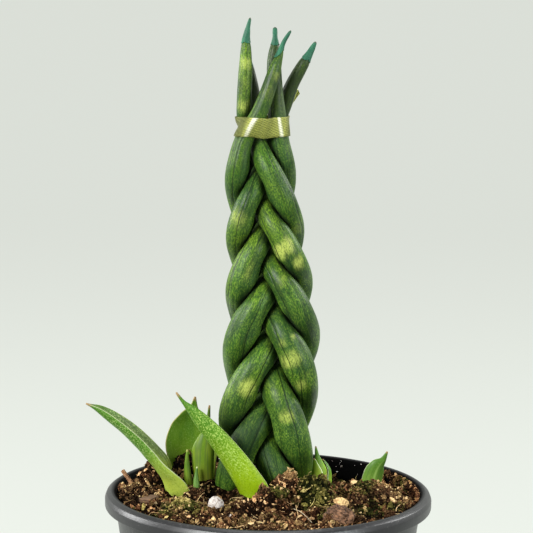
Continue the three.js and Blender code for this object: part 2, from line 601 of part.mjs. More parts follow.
/** Cupped leaf from its stations, `grow` mm thicker, wider and longer all round. */
function cuppedLeaf({ stations, face, footFace = face }, grow = 0) {
  const path = throughStations(stations);
  const count = Math.ceil(path.length / 5.5);
  const [foot, blade] = [footFace, face].map((way) => new THREE.Vector3(...way));
  const rings = [];
  for (let i = 0; i <= count; i += 1) {
    const s = (i / count) * (path.length + grow) - grow;
    const [x, y, z, half, cupDegrees, thickness] = path.at(s);
    const ahead = path.at(s + 0.3);
    const along = new THREE.Vector3(ahead[0] - x, ahead[1] - y, ahead[2] - z).normalize();
    const towards = foot.clone().lerp(blade, THREE.MathUtils.smoothstep(s / path.length, 0.04, 0.36));
    const [inward, across] = sectionAxes(along, towards);
    const cup = THREE.MathUtils.degToRad(cupDegrees);
    const radius = half / cup;
    const centre = new THREE.Vector3(x, y, RIM + z).addScaledVector(inward, radius);
    const side = (sign) => Array.from({ length: CUP_STEPS + 1 }, (_, k) => {
      const share = (2 * k) / CUP_STEPS - 1;
      const wall = (thickness / 2) * Math.sqrt(1 - 0.8 * share * share) + grow;
      const angle = share * (cup + grow / radius);
      const reach = radius + sign * wall;
      return centre.clone().addScaledVector(inward, -reach * Math.cos(angle))
        .addScaledVector(across, reach * Math.sin(angle));
    });
    rings.push([...side(1), ...side(-1).reverse()]);
  }
  return loft(rings, { cupped: true });
}

/** Rough lump: an icosahedron pushed in and out by a repeatable pattern. */
function lump({ at, size, turn, detail = 0, lean = 0, lift = 0.35 }, grow = 0) {
  const ball = new THREE.IcosahedronGeometry(1, detail);
  const geometry = mergeVertices(ball.deleteAttribute('normal').deleteAttribute('uv'));
  const position = geometry.attributes.position;
  const point = new THREE.Vector3();
  for (let i = 0; i < position.count; i += 1) {
    point.fromBufferAttribute(position, i);
    const push = 1 + 0.12 * Math.sin(7 * point.x + 5 * at[0]) * Math.cos(6 * point.y + 3 * at[1]);
    position.setXYZ(i, ...point.multiplyScalar(push).toArray());
  }
  geometry.scale(...size.map((half) => half + grow));
  geometry.rotateY(THREE.MathUtils.degToRad(lean)).rotateZ(THREE.MathUtils.degToRad(turn));
  geometry.translate(at[0], at[1], RIM + mixHeight(at[0], at[1]) + lift * size[2]);
  return geometry;
}

// ---- Underground stem -----------------------------------------------------------------------
function rhizome(grow = 0) {
  const { top, radius, depth, arm } = RHIZOME;
  const [high, low] = [RIM + top + grow, RIM + top - depth - grow];
  const crown = turned([[0, high], [radius - 3, high], [radius + grow, high - 3], [radius + grow, low + 4],
    [radius - 4, low], [0, low]], 20);
  crown.translate(BRAID_AXIS_X[0][1], BRAID.axisY, 0);
  const parts = [toSolid(crown)];
  for (const arc of RHIZOME.arms) {
    parts.push(toSolid(rod(arc.map((point, i) => [...point, arm - 0.35 * i]), 8, 7, grow)));
  }
  for (let i = 0; i < ROOTS.count; i += 1) {
    const angle = (2 * Math.PI * (i + 0.3)) / ROOTS.count;
    const [c, s] = [Math.cos(angle), Math.sin(angle)];
    const out = (reach, z, r) => [BRAID_AXIS_X[0][1] + reach * c, BRAID.axisY + reach * s, z, r];
    const start = top - depth + 3;
    parts.push(toSolid(rod([
      out(ROOTS.circle - 3, start, ROOTS.radius),
      out(ROOTS.circle + 4, start - 0.3 * ROOTS.drop, ROOTS.radius),
      out(ROOTS.circle + ROOTS.spread, start - ROOTS.drop, ROOTS.radius * 0.5),
    ], 6, 14, grow)));
  }
  return joined(parts);
}

/** The mix with a socket round everything that stands or lies in it. */
function pottingMix() {
  const feet = LEAVES.map((_, index) => {
    const heights = ringHeights(BRAID.foot - GAP - 0.4, 14, RING_STEP);
    return toSolid(loft(heights.map((z) => leafRing(index, z, GAP + 0.2))));
  });
  const sockets = [
    ...feet,
    rhizome(GAP + 0.1),
    ...CUPPED.map((leaf) => toSolid(cuppedLeaf(leaf, GAP + 0.1))),
    ...SPEARS.map(({ stations }) => toSolid(rod(stations, 8, 4, GAP + 0.1))),
    ...LUMPS.map((item) => toSolid(lump(item, GAP))),
  ];
  return toGeometry(largestBody(toSolid(mixBlock()).subtract(joined(sockets))));
}

// ---- Assembly -------------------------------------------------------------------------------
const group = new THREE.Group();
group.name = 'cylindrical_snake_plant';

function add(name, geometry, color, roughness, metalness = 0) {
  const mesh = new THREE.Mesh(geometry, new THREE.MeshStandardMaterial({ color, roughness, metalness }));
  mesh.name = name;
  group.add(mesh);
}

add('nursery_pot', pot(), 0x2b2b2d, 0.45);
add('potting_mix', pottingMix(), 0x3a2b1f, 0.95);
add('rhizome', toGeometry(rhizome()), 0xc9a25e, 0.7);
LEAVES.forEach((leaf, index) => add(leaf.name, braidedLeaf(index), 0x3f6a3a, 0.5));
LEAVES.forEach((leaf, index) => add(`wax_tip_${index + 1}`, waxCap(index), 0x3f8f78, 0.55));
add('ribbon_tie', ribbon(), 0xb9c26a, 0.35);
CUPPED.forEach((leaf) => add(leaf.name, cuppedLeaf(leaf), leaf.colour, 0.5));
SPEARS.forEach(({ name, stations, colour }) => add(name, rod(stations, 8, 4), colour, 0.5));
LUMPS.forEach((item) => add(item.name, lump(item), item.colour, 0.9));

export default group;
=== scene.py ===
"""Looks of a braided cylindrical snake plant in its nursery pot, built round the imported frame.

Stalks start as straight blanks, cylinders cut into rings, and are then laid along their paths: five
leaves into a flat braid where they press on each other, the pups and buds into their cupped forms.
Metres, +Z up, the origin under the middle of the pot. -Y is the front.
"""

import logging
import math
import random
from dataclasses import dataclass, field
from enum import Enum
from typing import Callable, ClassVar, Sequence

import bmesh
import bpy
import numpy as np
from mathutils import Matrix, Vector, noise
from mathutils.bvhtree import BVHTree


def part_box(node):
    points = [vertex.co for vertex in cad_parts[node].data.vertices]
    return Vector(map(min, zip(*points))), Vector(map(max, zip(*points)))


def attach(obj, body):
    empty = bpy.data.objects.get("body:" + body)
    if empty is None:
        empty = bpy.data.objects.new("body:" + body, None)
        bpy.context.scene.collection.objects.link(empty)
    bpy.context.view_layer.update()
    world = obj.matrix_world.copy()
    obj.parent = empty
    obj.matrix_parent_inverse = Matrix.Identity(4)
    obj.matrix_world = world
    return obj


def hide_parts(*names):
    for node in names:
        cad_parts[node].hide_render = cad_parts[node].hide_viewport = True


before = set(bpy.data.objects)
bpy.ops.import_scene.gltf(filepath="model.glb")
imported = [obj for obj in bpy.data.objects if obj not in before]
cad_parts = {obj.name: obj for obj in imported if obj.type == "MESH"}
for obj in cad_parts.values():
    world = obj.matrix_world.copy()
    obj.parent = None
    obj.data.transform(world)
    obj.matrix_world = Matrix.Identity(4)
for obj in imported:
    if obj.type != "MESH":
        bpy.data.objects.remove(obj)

log = logging.getLogger("snake_plant")
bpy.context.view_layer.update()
BODY = "root"
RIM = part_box("nursery_pot")[1].z  # the plant's heights are given from the pot's rim
TURN = 2 * math.pi

Colour = tuple[float, float, float]
Point = tuple[float, float, float]
Table = tuple[tuple[float, ...], ...]
Ramp = tuple[tuple[float, Colour], ...]
Array = np.ndarray
Floats = Array | float
Pair = tuple[Array, Array]
Model = tuple[Array, list[list[int]]]  # points and faces
Piece = bpy.types.Object
Finish = bpy.types.Material
Socket = bpy.types.NodeSocket


# ---- Curves through stations ----
class Smooth:
    """Shape-preserving cubic through its stations, straight outside them."""

    def __init__(self, xs: Sequence[float], ys: Sequence[float]) -> None:
        """Works out a slope for every station.

        Args:
            xs: Places of the stations, rising.
            ys: Values at the stations.
        """
        self.xs, self.ys = np.asarray(xs, float), np.asarray(ys, float)
        step = np.diff(self.xs)
        secant = np.diff(self.ys) / step
        self.slope = np.empty_like(self.ys)
        self.slope[0], self.slope[-1] = secant[0], secant[-1]
        before, after = secant[:-1], secant[1:]
        w1, w2 = 2 * step[1:] + step[:-1], step[1:] + 2 * step[:-1]
        with np.errstate(divide="ignore", invalid="ignore"):
            mean = (w1 + w2) / (w1 / before + w2 / after)
        self.slope[1:-1] = np.where(before * after > 0, mean, 0.0)

    def __call__(self, x: Floats) -> Array:
        """Reads the curve.

        Args:
            x: A place or an array of places.

        Returns:
            The value at each place.
        """
        x = np.asarray(x, float)
        xs, ys, slope = self.xs, self.ys, self.slope
        i = np.clip(np.searchsorted(xs, x, side="right") - 1, 0, len(xs) - 2)
        h = xs[i + 1] - xs[i]
        t = (x - xs[i]) / h
        keep = (1 + 2 * t) * (1 - t) ** 2
        inside = ys[i] * keep + ys[i + 1] * (1 - keep)
        inside += h * t * (1 - t) * (slope[i] * (1 - t) - slope[i + 1] * t)
        low = ys[0] + slope[0] * (x - xs[0])
        high = ys[-1] + slope[-1] * (x - xs[-1])
        return np.where(x <= xs[0], low, np.where(x >= xs[-1], high, inside))


class Stations:
    """Columns of a station table as functions of the length along it."""

    def __init__(self, rows: Table) -> None:
        """Measures the table's length from its first three columns, which are a place."""
        table = np.array(rows)
        steps = np.linalg.norm(np.diff(table[:, :3], axis=0), axis=1)
        along = np.concatenate([[0.0], np.cumsum(steps)])
        self.length = float(along[-1])
        self.columns = [Smooth(along, column) for column in table.T]

    def __call__(self, s: Array) -> Array:
        """Rows of the table at the lengths s."""
        return np.stack([column(s) for column in self.columns], axis=-1)

    def heading(self, s: Array, ahead: float = 0.0002) -> Array:
        """Unit vectors along the path at the lengths s."""
        return unit(self(s + ahead)[..., :3] - self(s)[..., :3])


def unit(vectors: Array) -> Array:
    """The vectors at length one."""
    return vectors / np.maximum(np.linalg.norm(vectors, axis=-1, keepdims=True), 1e-12)


def stacked(*grids: Floats) -> Array:
    """Grids or numbers, stretched to one shape, as the parts of vectors."""
    return np.stack(np.broadcast_arrays(*grids), axis=-1)


def section_axes(along: Array, across: Point = (1.0, 0.0, 0.0)) -> Pair:
    """Two unit vectors square to a path, the first as near `across` as it can be.

    Args:
        along: Unit vectors along the path.
        across: Way the first axis should point.

    Returns:
        The first axis and the second one, which makes a right-handed set with it and the path.
    """
    way = np.asarray(across, float)
    first = unit(way - along * np.sum(along * way, axis=-1, keepdims=True))
    return first, np.cross(along, first)


def smooth_step(x: Floats, low: float, high: float) -> Array:
    """0 below low, 1 above high, and a smooth rise between them."""
    t = np.clip((np.asarray(x, float) - low) / (high - low), 0.0, 1.0)
    return t * t * (3 - 2 * t)


def ripple(where: Array, scale: float, seed: float) -> Array:
    """Soft noise from -1 to 1.

    Args:
        where: Points, in metres.
        scale: Size of the noise's features, in metres.
        seed: Moves the pattern, so that two pieces differ.

    Returns:
        One value for each point.
    """
    flat = where.reshape(-1, 3) / scale
    values = [noise.noise(Vector(p) + Vector((seed, -seed, 2 * seed))) for p in flat]
    return np.array(values).reshape(where.shape[:-1])


# ---- Modelling with operators ----
def only(*objects: Piece) -> None:
    """Selects these objects and nothing else; the first becomes active."""
    bpy.ops.object.select_all(action="DESELECT")
    for item in objects:
        item.select_set(True)
    bpy.context.view_layer.objects.active = objects[0]


def fresh(name: str) -> Piece:
    """Names the primitive that was just added and puts its place into its mesh."""
    made = bpy.context.object
    made.name = made.data.name = name
    only(made)
    bpy.ops.object.transform_apply(location=True, rotation=True, scale=True)
    return made


def pick(obj: Piece, mode: str, wanted: Callable[[object], bool]) -> None:
    """Opens a piece in edit mode with some of its elements selected.

    Args:
        obj: The piece.
        mode: VERT, EDGE or FACE.
        wanted: Says of an element whether it is selected.
    """
    only(obj)
    if obj.mode != "EDIT":
        bpy.ops.object.mode_set(mode="EDIT")
    bpy.ops.mesh.select_mode(type=mode)
    bpy.ops.mesh.select_all(action="DESELECT")
    cage = bmesh.from_edit_mesh(obj.data)
    for item in {"VERT": cage.verts, "EDGE": cage.edges, "FACE": cage.faces}[mode]:
        if wanted(item):
            item.select_set(True)
    bmesh.update_edit_mesh(obj.data)


def leave_edit() -> None:
    """Goes back to object mode."""
    bpy.ops.object.mode_set(mode="OBJECT")


def points_of(obj: Piece) -> Array:
    """The piece's vertices as rows of x, y, z."""
    flat = np.empty(len(obj.data.vertices) * 3)
    obj.data.vertices.foreach_get("co", flat)
    return flat.reshape(-1, 3)


def place_points(obj: Piece, points: Array) -> None:
    """Moves the piece's vertices to new places."""
    obj.data.vertices.foreach_set("co", np.ascontiguousarray(points, dtype=float).ravel())
    obj.data.update()


def note(obj: Piece, name: str, values: Array) -> None:
    """Stores one number or one vector a vertex for the materials to read.

    Args:
        obj: The piece.
        name: Name that the materials know it by.
        values: One row for each vertex.
    """
    vector = values.ndim == 2
    layer = obj.data.attributes.new(name, "FLOAT_VECTOR" if vector else "FLOAT", "POINT")
    layer.data.foreach_set("vector" if vector else "value", np.ascontiguousarray(values, float).ravel())


def apply(obj: Piece, kind: str, **settings: object) -> None:
    """Adds a modifier to a piece and applies it.

    Args:
        obj: The piece.
        kind: Type of the modifier.
        settings: Properties of the modifier.
    """
    only(obj)
    made = obj.modifiers.new("step", kind)
    for key, value in settings.items():
        setattr(made, key, value)
    bpy.ops.object.modifier_apply(modifier=made.name)


def subdivided(obj: Piece) -> None:
    """Rounds a piece with a subdivision surface."""
    apply(obj, "SUBSURF", levels=1, render_levels=1)


def roughened(obj: Piece, texture: str, size: float, depth: float, **settings: object) -> None:
    """Pushes a piece's skin in and out by a procedural texture.

    Args:
        obj: The piece.
        texture: CLOUDS, VORONOI or another type of texture.
        size: Size of the texture's features, in metres.
        depth: Height of the relief, in metres.
        settings: Further properties of the modifier.
    """
    relief = bpy.data.textures.new("relief", texture)
    relief.noise_scale = size
    apply(obj, "DISPLACE", texture=relief, strength=depth, mid_level=0.5,
          texture_coords="LOCAL", **settings)


def smooth_shaded(obj: Piece, angle: float = 180.0) -> None:
    """Shades a piece smoothly.

    Args:
        obj: The piece.
        angle: Edges sharper than this, in degrees, stay sharp.
    """
    only(obj)
    if angle >= 180.0:
        bpy.ops.object.shade_smooth()
    else:
        bpy.ops.object.shade_smooth_by_angle(angle=math.radians(angle))


class Blank:
    """A straight stalk: a cylinder whose side is cut into rings, then laid ring by ring."""

    def __init__(self, name: str, sides: int, rings: int) -> None:
        """Makes the blank.

        Args:
            name: Name of the piece it becomes.
            sides: Columns round the stalk, a multiple of four.
            rings: Bands along the stalk.
        """
        self.sides, self.rings = sides, rings
        bpy.ops.mesh.primitive_cylinder_add(
            vertices=sides, radius=1.0, depth=1.0, end_fill_type="TRIFAN", location=(0, 0, 0.5))
        self.obj = fresh(name)
        pick(self.obj, "EDGE", lambda edge: abs(edge.verts[0].co.z - edge.verts[1].co.z) > 0.5)
        bpy.ops.mesh.subdivide(number_cuts=rings - 1)
        leave_edit()
        x, y, z = points_of(self.obj).T
        self.middle = np.hypot(x, y) < 0.5
        self.ring = np.rint(z * rings).astype(int)
        self.column = np.rint(np.arctan2(y, x) / TURN * sides).astype(int) % sides
        self.angle = np.arange(sides) * TURN / sides
        self.share = np.linspace(0.0, 1.0, rings + 1)

    def _spread(self, grid: Array) -> Array:
        """Values of a grid of rings and columns at the vertices; the poles take a ring's mean."""
        values = grid[self.ring, self.column].copy()
        values[self.middle] = grid.mean(axis=1)[self.ring[self.middle]]
        return values

    def rays(self, along: Array) -> Array:
        """Unit vectors out from a path, one for each column of every ring.

        Args:
            along: Unit vectors along the path, one for each ring or one for each point.

        Returns:
            A grid of vectors square to the path.
        """
        u, v = section_axes(along[:, None] if along.ndim == 2 else along)
        return u * np.cos(self.angle)[:, None] + v * np.sin(self.angle)[:, None]

    def lay(self, grid: Array) -> None:
        """Moves the stalk to a grid of points, one row for each ring."""
        place_points(self.obj, self._spread(grid))

    def note(self, name: str, grid: Array) -> None:
        """Stores a grid of numbers or vectors for the materials."""
        note(self.obj, name, self._spread(grid))

    def open_foot(self) -> None:
        """Takes away the cap at the foot."""
        lost = self.middle & (self.ring == 0)
        pick(self.obj, "VERT", lambda vert: lost[vert.index])
        bpy.ops.mesh.delete(type="VERT")
        leave_edit()
        self.middle, self.ring, self.column = self.middle[~lost], self.ring[~lost], self.column[~lost]

    def finished(self) -> Piece:
        """Rounds and shades the stalk."""
        subdivided(self.obj)
        smooth_shaded(self.obj)
        return self.obj


# ---- Shader bench ----
class Signal:
    """A number in a material; arithmetic on it adds Math nodes."""

    def __init__(self, bench: "Bench", socket: Socket) -> None:
        """Wraps an output socket of the bench's material."""
        self.bench, self.socket = bench, socket

    def _maths(self, operation: str, *terms: "Signal | float") -> "Signal":
        """One Math node over the terms."""
        made = self.bench.node("Math", {"operation": operation}, dict(enumerate(terms)))
        return Signal(self.bench, made.outputs[0])

    def __add__(self, other: "Signal | float") -> "Signal":
        """Sum."""
        return self._maths("ADD", self, other)

    __radd__ = __add__

    def __mul__(self, other: "Signal | float") -> "Signal":
        """Product."""
        return self._maths("MULTIPLY", self, other)

    __rmul__ = __mul__

    def __sub__(self, other: "Signal | float") -> "Signal":
        """Difference."""
        return self._maths("SUBTRACT", self, other)

    def __rsub__(self, other: "Signal | float") -> "Signal":
        """Difference from a plain number."""
        return self._maths("SUBTRACT", other, self)

    def __abs__(self) -> "Signal":
        """Size without sign."""
        return self._maths("ABSOLUTE", self)

    def sine(self) -> "Signal":
        """Sine."""
        return self._maths("SINE", self)

    def rise(self, low: float, high: float) -> "Signal":
        """Smooth rise between two values.

        Args:
            low: Value up to which it is 0.
            high: Value from which it is 1; below low it makes a fall.

        Returns:
            The signal from 0 to 1.
        """
        made = self.bench.node("MapRange", {"interpolation_type": "SMOOTHSTEP"},
                               {0: self, 1: low, 2: high, 3: 0.0, 4: 1.0})
        return Signal(self.bench, made.outputs[0])


class Bench:
    """Puts together the nodes of one material."""

    def __init__(self, name: str) -> None:
        """Starts an empty material."""
        self.material = bpy.data.materials.new(name)
        self.material.use_nodes = True
        self.tree = self.material.node_tree
        self.tree.nodes.clear()

    def node(self, kind: str, settings: dict | None = None, inputs: dict | None = None) -> bpy.types.Node:
        """Adds a node.

        Args:
            kind: Type of the node, without "ShaderNode".
            settings: Properties, set first; "stops" are a ramp's places and colours.
            inputs: Values or links of its sockets, by name or number.

        Returns:
            The new node.
        """
        made = self.tree.nodes.new("ShaderNode" + kind)
        for key, value in (settings or {}).items():
            if key == "stops":
                ramp = made.color_ramp.elements
                while len(ramp) < len(value):
                    ramp.new(1.0)
                for stop, (place, colour) in zip(ramp, value):
                    stop.position, stop.color = place, (*colour, 1.0)
            else:
                setattr(made, key, value)
        for key, value in (inputs or {}).items():
            socket = made.inputs[key]
            value = value.socket if isinstance(value, Signal) else value
            if isinstance(value, Socket):
                self.tree.links.new(value, socket)
            elif socket.type == "RGBA":
                socket.default_value = (*value, 1.0)
            else:
                socket.default_value = value
        return made

    def attribute(self, name: str) -> Socket:
        """A vector stored on the piece."""
        return self.node("Attribute", {"attribute_name": name}).outputs["Vector"]

    def number(self, name: str) -> Signal:
        """A number stored on the piece."""
        return Signal(self, self.node("Attribute", {"attribute_name": name}).outputs["Fac"])

    def place(self) -> Socket:
        """Object coordinates."""
        return self.node("TexCoord").outputs["Object"]

    def scaled(self, where: Socket, factors: Point) -> Socket:
        """Coordinates with each axis multiplied by a factor."""
        return self.node("VectorMath", {"operation": "MULTIPLY"}, {0: where, 1: factors}).outputs[0]

    def parts(self, where: Socket) -> list[Signal]:
        """The three numbers of a vector."""
        split = self.node("SeparateXYZ", {}, {0: where})
        return [Signal(self, socket) for socket in split.outputs]

    def noise(self, where: Socket, size: float, detail: float = 2.0, rough: float = 0.5,
              stretch: Point | None = None) -> Signal:
        """Makes a noise.

        Args:
            where: Coordinates that it is laid on.
            size: Size of its features, in metres.
            detail: Number of its finer layers.
            rough: Strength of each finer layer.
            stretch: Factors of the coordinates, below 1 where it is drawn out.

        Returns:
            The noise, 0.5 in the mean.
        """
        made = self.node("TexNoise", {}, {
            "Vector": self.scaled(where, stretch) if stretch else where,
            "Scale": 0.6 / size, "Detail": detail, "Roughness": rough})
        return Signal(self, made.outputs[0])

    def cells(self, where: Socket, size: float) -> Signal:
        """Distance to the nearest of scattered points that lie about this far apart."""
        made = self.node("TexVoronoi", {}, {"Vector": where, "Scale": 1.0 / size})
        return Signal(self, made.outputs["Distance"])

    def coats(self, under: object, *coats: tuple[Signal | float, object]) -> Socket:
        """Lays colours over one another.

        Args:
            under: Lowest colour.
            coats: Every further colour, after how much of it shows.

        Returns:
            The mixed colour.
        """
        for share, over in coats:
            made = self.node("Mix", {"data_type": "RGBA"}, {0: share, 6: under, 7: over})
            under = made.outputs[2]
        return under

    def ramp(self, value: Signal, stops: Ramp) -> Socket:
        """Colour read off a ramp."""
        return self.node("ValToRGB", {"stops": stops}, {0: value}).outputs[0]

    def bump(self, height: Signal, depth: float) -> Socket:
        """Normal of a relief this deep, in metres."""
        inputs = {"Height": height, "Distance": depth, "Strength": 1.0}
        return self.node("Bump", {}, inputs).outputs[0]

    def shaded(self, **inputs: object) -> Finish:
        """Closes the material with a principled shader; spaces in socket names are written _."""
        shader = self.node("BsdfPrincipled", {},
                           {key.replace("_", " "): value for key, value in inputs.items()})
        self.node("OutputMaterial", {}, {0: shader.outputs[0]})
        return self.material


def dress(obj: Piece, material: Finish) -> None:
    """Gives a piece its only material."""
    obj.data.materials.clear()
    obj.data.materials.append(material)


# ---- Finishes ----
@dataclass(frozen=True)
class LeafSkin:
    """Speckled rind of a braided leaf, with furrows, pale bands and blushes, and painted shade in crevices
    and patches.
    """

    deep: Colour = (0.016, 0.052, 0.009)
    green: Colour = (0.064, 0.168, 0.011)
    warm: Colour = (0.13, 0.222, 0.008)
    cool: Colour = (0.04, 0.088, 0.03)
    fleck: Colour = (0.24, 0.37, 0.04)
    blush: Colour = (0.42, 0.5, 0.1)
    furrow: Colour = (0.006, 0.018, 0.004)
    # colour of the painted shade patches
    shaded: Colour = (0.005, 0.02, 0.003)
    # olive-brown of the free end: partly the drier leaf, partly painted shade
    dryness_and_shade: Colour = (0.023, 0.035, 0.013)
    # colour of the painted shade in the crevices between the leaves
    crevice: Colour = (0.002, 0.006, 0.002)

    def make(self, number: int, lightness: float, dryness_and_shade: float) -> Finish:
        """Builds the skin of one leaf.

        Args:
            number: The leaf's number.
            lightness: How much of the lighter green it shows, from 0 to 1.
            dryness_and_shade: How dark its free end is, from 0 to 1: partly its drier colour, partly
                painted shade.

        Returns:
            The material.
        """
        bench = Bench(f"leaf_skin_{number}")
        straight = bench.attribute("straight")
        lie = bench.node("VectorMath", {"operation": "ADD"},
                         {0: straight, 1: (0.0, 0.0, 0.7 * number)}).outputs[0]
        cloud = bench.noise(lie, 0.0048, 3.0, stretch=(1, 1, 0.5))
        hue = bench.noise(lie, 0.011, stretch=(1, 1, 0.6))
        speck = bench.noise(lie, 0.00034, 2.0, 0.6, (1.1, 1.1, 0.72))
        pore = bench.noise(lie, 0.00036, 1.0, stretch=(1.2, 1.2, 0.7))
        streak = bench.noise(lie, 0.0016, stretch=(1, 1, 0.06))
        band = bench.noise(lie, 0.0075, 2.5, stretch=(0.3, 0.3, 1))
        mottle = bench.noise(lie, 0.0013, stretch=(1, 1, 0.6))
        patch = (0.86 * cloud + 0.14 * mottle).rise(0.36, 0.64)
        pale = band.rise(0.52, 0.7)
        dots = speck.rise(0.46, 0.6)
        blush = bench.number("blush") * (0.05 + 0.7 * cloud + mottle)
        line = 0.55 * abs(streak - 0.5).rise(0.03, 0.0)
        furrow = bench.number("furrow").rise(0.45, 0.85)
        shade, crevice = bench.number("shade"), bench.number("crevice")
        height = bench.parts(straight)[2]
        dim = 1 - 0.35 * height.rise(0.105, 0.15) * height.rise(0.192, 0.18)
        green = bench.coats(self.green, (0.8 * hue.rise(0.46, 0.66), self.warm),
                            (0.4 * hue.rise(0.49, 0.36), self.cool))
        colour = bench.coats(
            self.deep,
            ((patch * (0.45 + 0.7 * lightness) + 0.45 * pale) * dim, green),
            (dots * (0.2 + 0.26 * patch + 0.34 * pale) * dim, self.fleck),
            (0.8 * pore.rise(0.52, 0.4), self.deep),
            (0.95 * blush.rise(0.14, 0.78) * (0.4 + 0.6 * speck.rise(0.36, 0.54)), self.blush),
            (0.85 * furrow + (1 - furrow) * line, self.furrow),
            # painted shade patches
            (shade * (0.5 + 0.4 * cloud), self.shaded),
            # darker free end: partly its drier colour, partly painted shade
            (dryness_and_shade * height.rise(0.168, 0.196) * (0.5 + 0.9 * cloud), self.dryness_and_shade),
            # painted shade where the leaves press together
            (0.85 * crevice, self.crevice))
        relief = bench.bump(0.4 * streak + 0.4 * speck - 0.3 * line - 0.6 * furrow, 0.00016)
        rough = 0.3 + 0.22 * cloud + 0.3 * crevice + 0.3 * shade
        return bench.shaded(Base_Color=colour, Roughness=rough, Normal=relief, Specular_IOR_Level=0.19)


@dataclass(frozen=True)
class DippedWax:
    """Matt teal wax with a faint streakiness, dried out at the very tip."""

    body: Colour = (0.017, 0.138, 0.066)
    thin: Colour = (0.008, 0.08, 0.04)
    dry: Colour = (0.05, 0.052, 0.03)

    def make(self) -> Finish:
        """Builds the material."""
        bench = Bench("dipped_wax")
        where = bench.place()
        patch = bench.noise(where, 0.0022, 3.0, stretch=(1, 1, 0.5))
        grain = bench.noise(where, 0.0004, 1.0)
        dried = (bench.number("along") + 0.2 * (patch - 0.5)).rise(0.88, 1.0)
        colour = bench.coats(self.thin, (patch.rise(0.35, 0.7), self.body), (dried, self.dry))
        return bench.shaded(Base_Color=colour, Roughness=0.5 + 0.2 * patch, Specular_IOR_Level=0.35,
                            Normal=bench.bump(0.7 * patch + 0.3 * grain, 0.00012))


@dataclass(frozen=True)
class Satin:
    """Yellow-green satin: fine diagonal weave, a sheen drawn out across the threads, and painted highlights
    and shade.
    """

    # base colour of the threads, and colour of the painted shade
    dark: Colour = (0.058, 0.07, 0.008)
    light: Colour = (0.49, 0.515, 0.105)
    # colour of the painted highlights
    painted_sheen: Colour = (1.0, 1.0, 0.8)
    thread: float = 0.00135

    def make(self) -> Finish:
        """Builds the material."""
        bench = Bench("satin_weave")
        weave = bench.attribute("weave")
        along, across, painted_lustre = bench.parts(weave)
        wear = bench.noise(weave, 0.0018)
        twill = ((0.5 * along + 1.1 * across + 0.0034 * wear) * (TURN / self.thread)).sine()
        warp = ((across + 0.4 * along + 0.001 * wear) * (TURN / (0.55 * self.thread))).sine()
        threads = 0.5 + 0.36 * twill + 0.2 * warp + 0.9 * (wear - 0.5)
        colour = bench.coats(
            self.dark,
            (threads.rise(0.0, 1.0), self.light),
            # painted shade where the lustre is negative, painted highlights where it is positive
            (painted_lustre.rise(0.0, -1.0) * (0.7 + 0.2 * twill), self.dark),
            (painted_lustre.rise(0.1, 1.0) * (0.65 + 0.35 * twill), self.painted_sheen))
        relief = bench.bump(0.5 * twill + 0.3 * warp + 2.0 * wear, 0.00005)
        return bench.shaded(Base_Color=colour, Roughness=0.3 + 0.14 * wear, Normal=relief, Metallic=0.36,
                            Specular_IOR_Level=0.3, Anisotropic=0.8, Anisotropic_Rotation=0.25)


@dataclass(frozen=True)
class PupSkin:
    """Fresh green of a pup's leaf: pale flecks, a light foot, a horny margin and a dry tip."""

    back: Colour = (0.1, 0.27, 0.01)
    hollow: Colour = (0.15, 0.21, 0.07)
    shade: Colour = (0.04, 0.13, 0.006)
    foot: Colour = (0.29, 0.43, 0.02)
    fleck: Colour = (0.44, 0.59, 0.19)
    vein: Colour = (0.05, 0.09, 0.02)
    margin: Colour = (0.6, 0.62, 0.38)
    tip: Colour = (0.3, 0.2, 0.09)
    keel: Colour = (0.7, 0.76, 0.3)
    flecks: float = 0.5  # how dense the pale flecks are
    foot_top: float = 0.3  # share of the length where the light foot ends
    keel_share: float = 0.0  # how clearly a pale keel shows on the back
    veins: float = 0.5  # how clearly dark veins show in the hollow
    ribs: float = 0.0  # how clearly they show on the back
    margin_width: float = 0.03

    def make(self, name: str) -> Finish:
        """Builds the material of one leaf.

        Args:
            name: The leaf's node.

        Returns:
            The material.
        """
        bench = Bench(f"{name}_finish")
        # across from -1 to 1, side from -1 in the hollow to 1 on the back, along from 0 to 1
        across, side, along = bench.parts(bench.attribute("blade"))
        lie = bench.attribute("straight")
        cloud = bench.noise(lie, 0.003, 3.0, stretch=(1, 1, 0.35))
        speck = bench.cells(bench.scaled(lie, (1, 1, 0.75)), 0.00078)
        freckle = bench.noise(lie, 0.0004, 2.0, 0.6, (1, 1, 0.8))
        stripe = bench.noise(lie, 0.0006, 1.0, stretch=(1, 1, 0.03))
        low = (along + 0.3 * (cloud - 0.5)).rise(1.15 * self.foot_top, 0.25 * self.foot_top)
        spread = (along + 1.6 * (cloud - 0.5)).rise(-0.1, 0.5) * along.rise(1.05, 0.75)
        dots = (speck - 0.42 * self.flecks**0.6 * spread * (0.5 + freckle)).rise(0.02, -0.14)
        veined = self.veins * side.rise(0.1, -0.2) + self.ribs * side.rise(-0.2, 0.1)
        keel = (abs(across) + 0.1 * cloud).rise(0.22, 0.05) * side.rise(0.2, 0.6) * along.rise(0.95, 0.5)
        edge = abs(across).rise(1 - self.margin_width, 1 - 0.4 * self.margin_width)
        colour = bench.coats(
            self.back,
            (side.rise(0.15, -0.15), self.hollow),
            (0.6 * cloud.rise(0.62, 0.36) * along.rise(0.1, 0.6), self.shade),
            (0.5 * along.rise(0.5, 0.95), self.shade),
            (low, self.foot),
            (self.flecks * 0.34 * spread * freckle.rise(0.47, 0.64), self.fleck),
            (self.flecks * 0.4 * freckle.rise(0.46, 0.36), self.shade),
            (0.55 * dots, self.fleck),
            (veined * stripe.rise(0.47, 0.6), self.vein),
            (self.keel_share * keel, self.keel),
            (0.8 * edge, self.margin),
            (along.rise(0.945, 0.99), self.tip))
        relief = bench.bump(0.5 * stripe - 0.2 * speck + 0.3 * cloud, 0.00014)
        return bench.shaded(Base_Color=colour, Roughness=0.36 + 0.16 * cloud, Normal=relief,
                            Specular_IOR_Level=0.2)


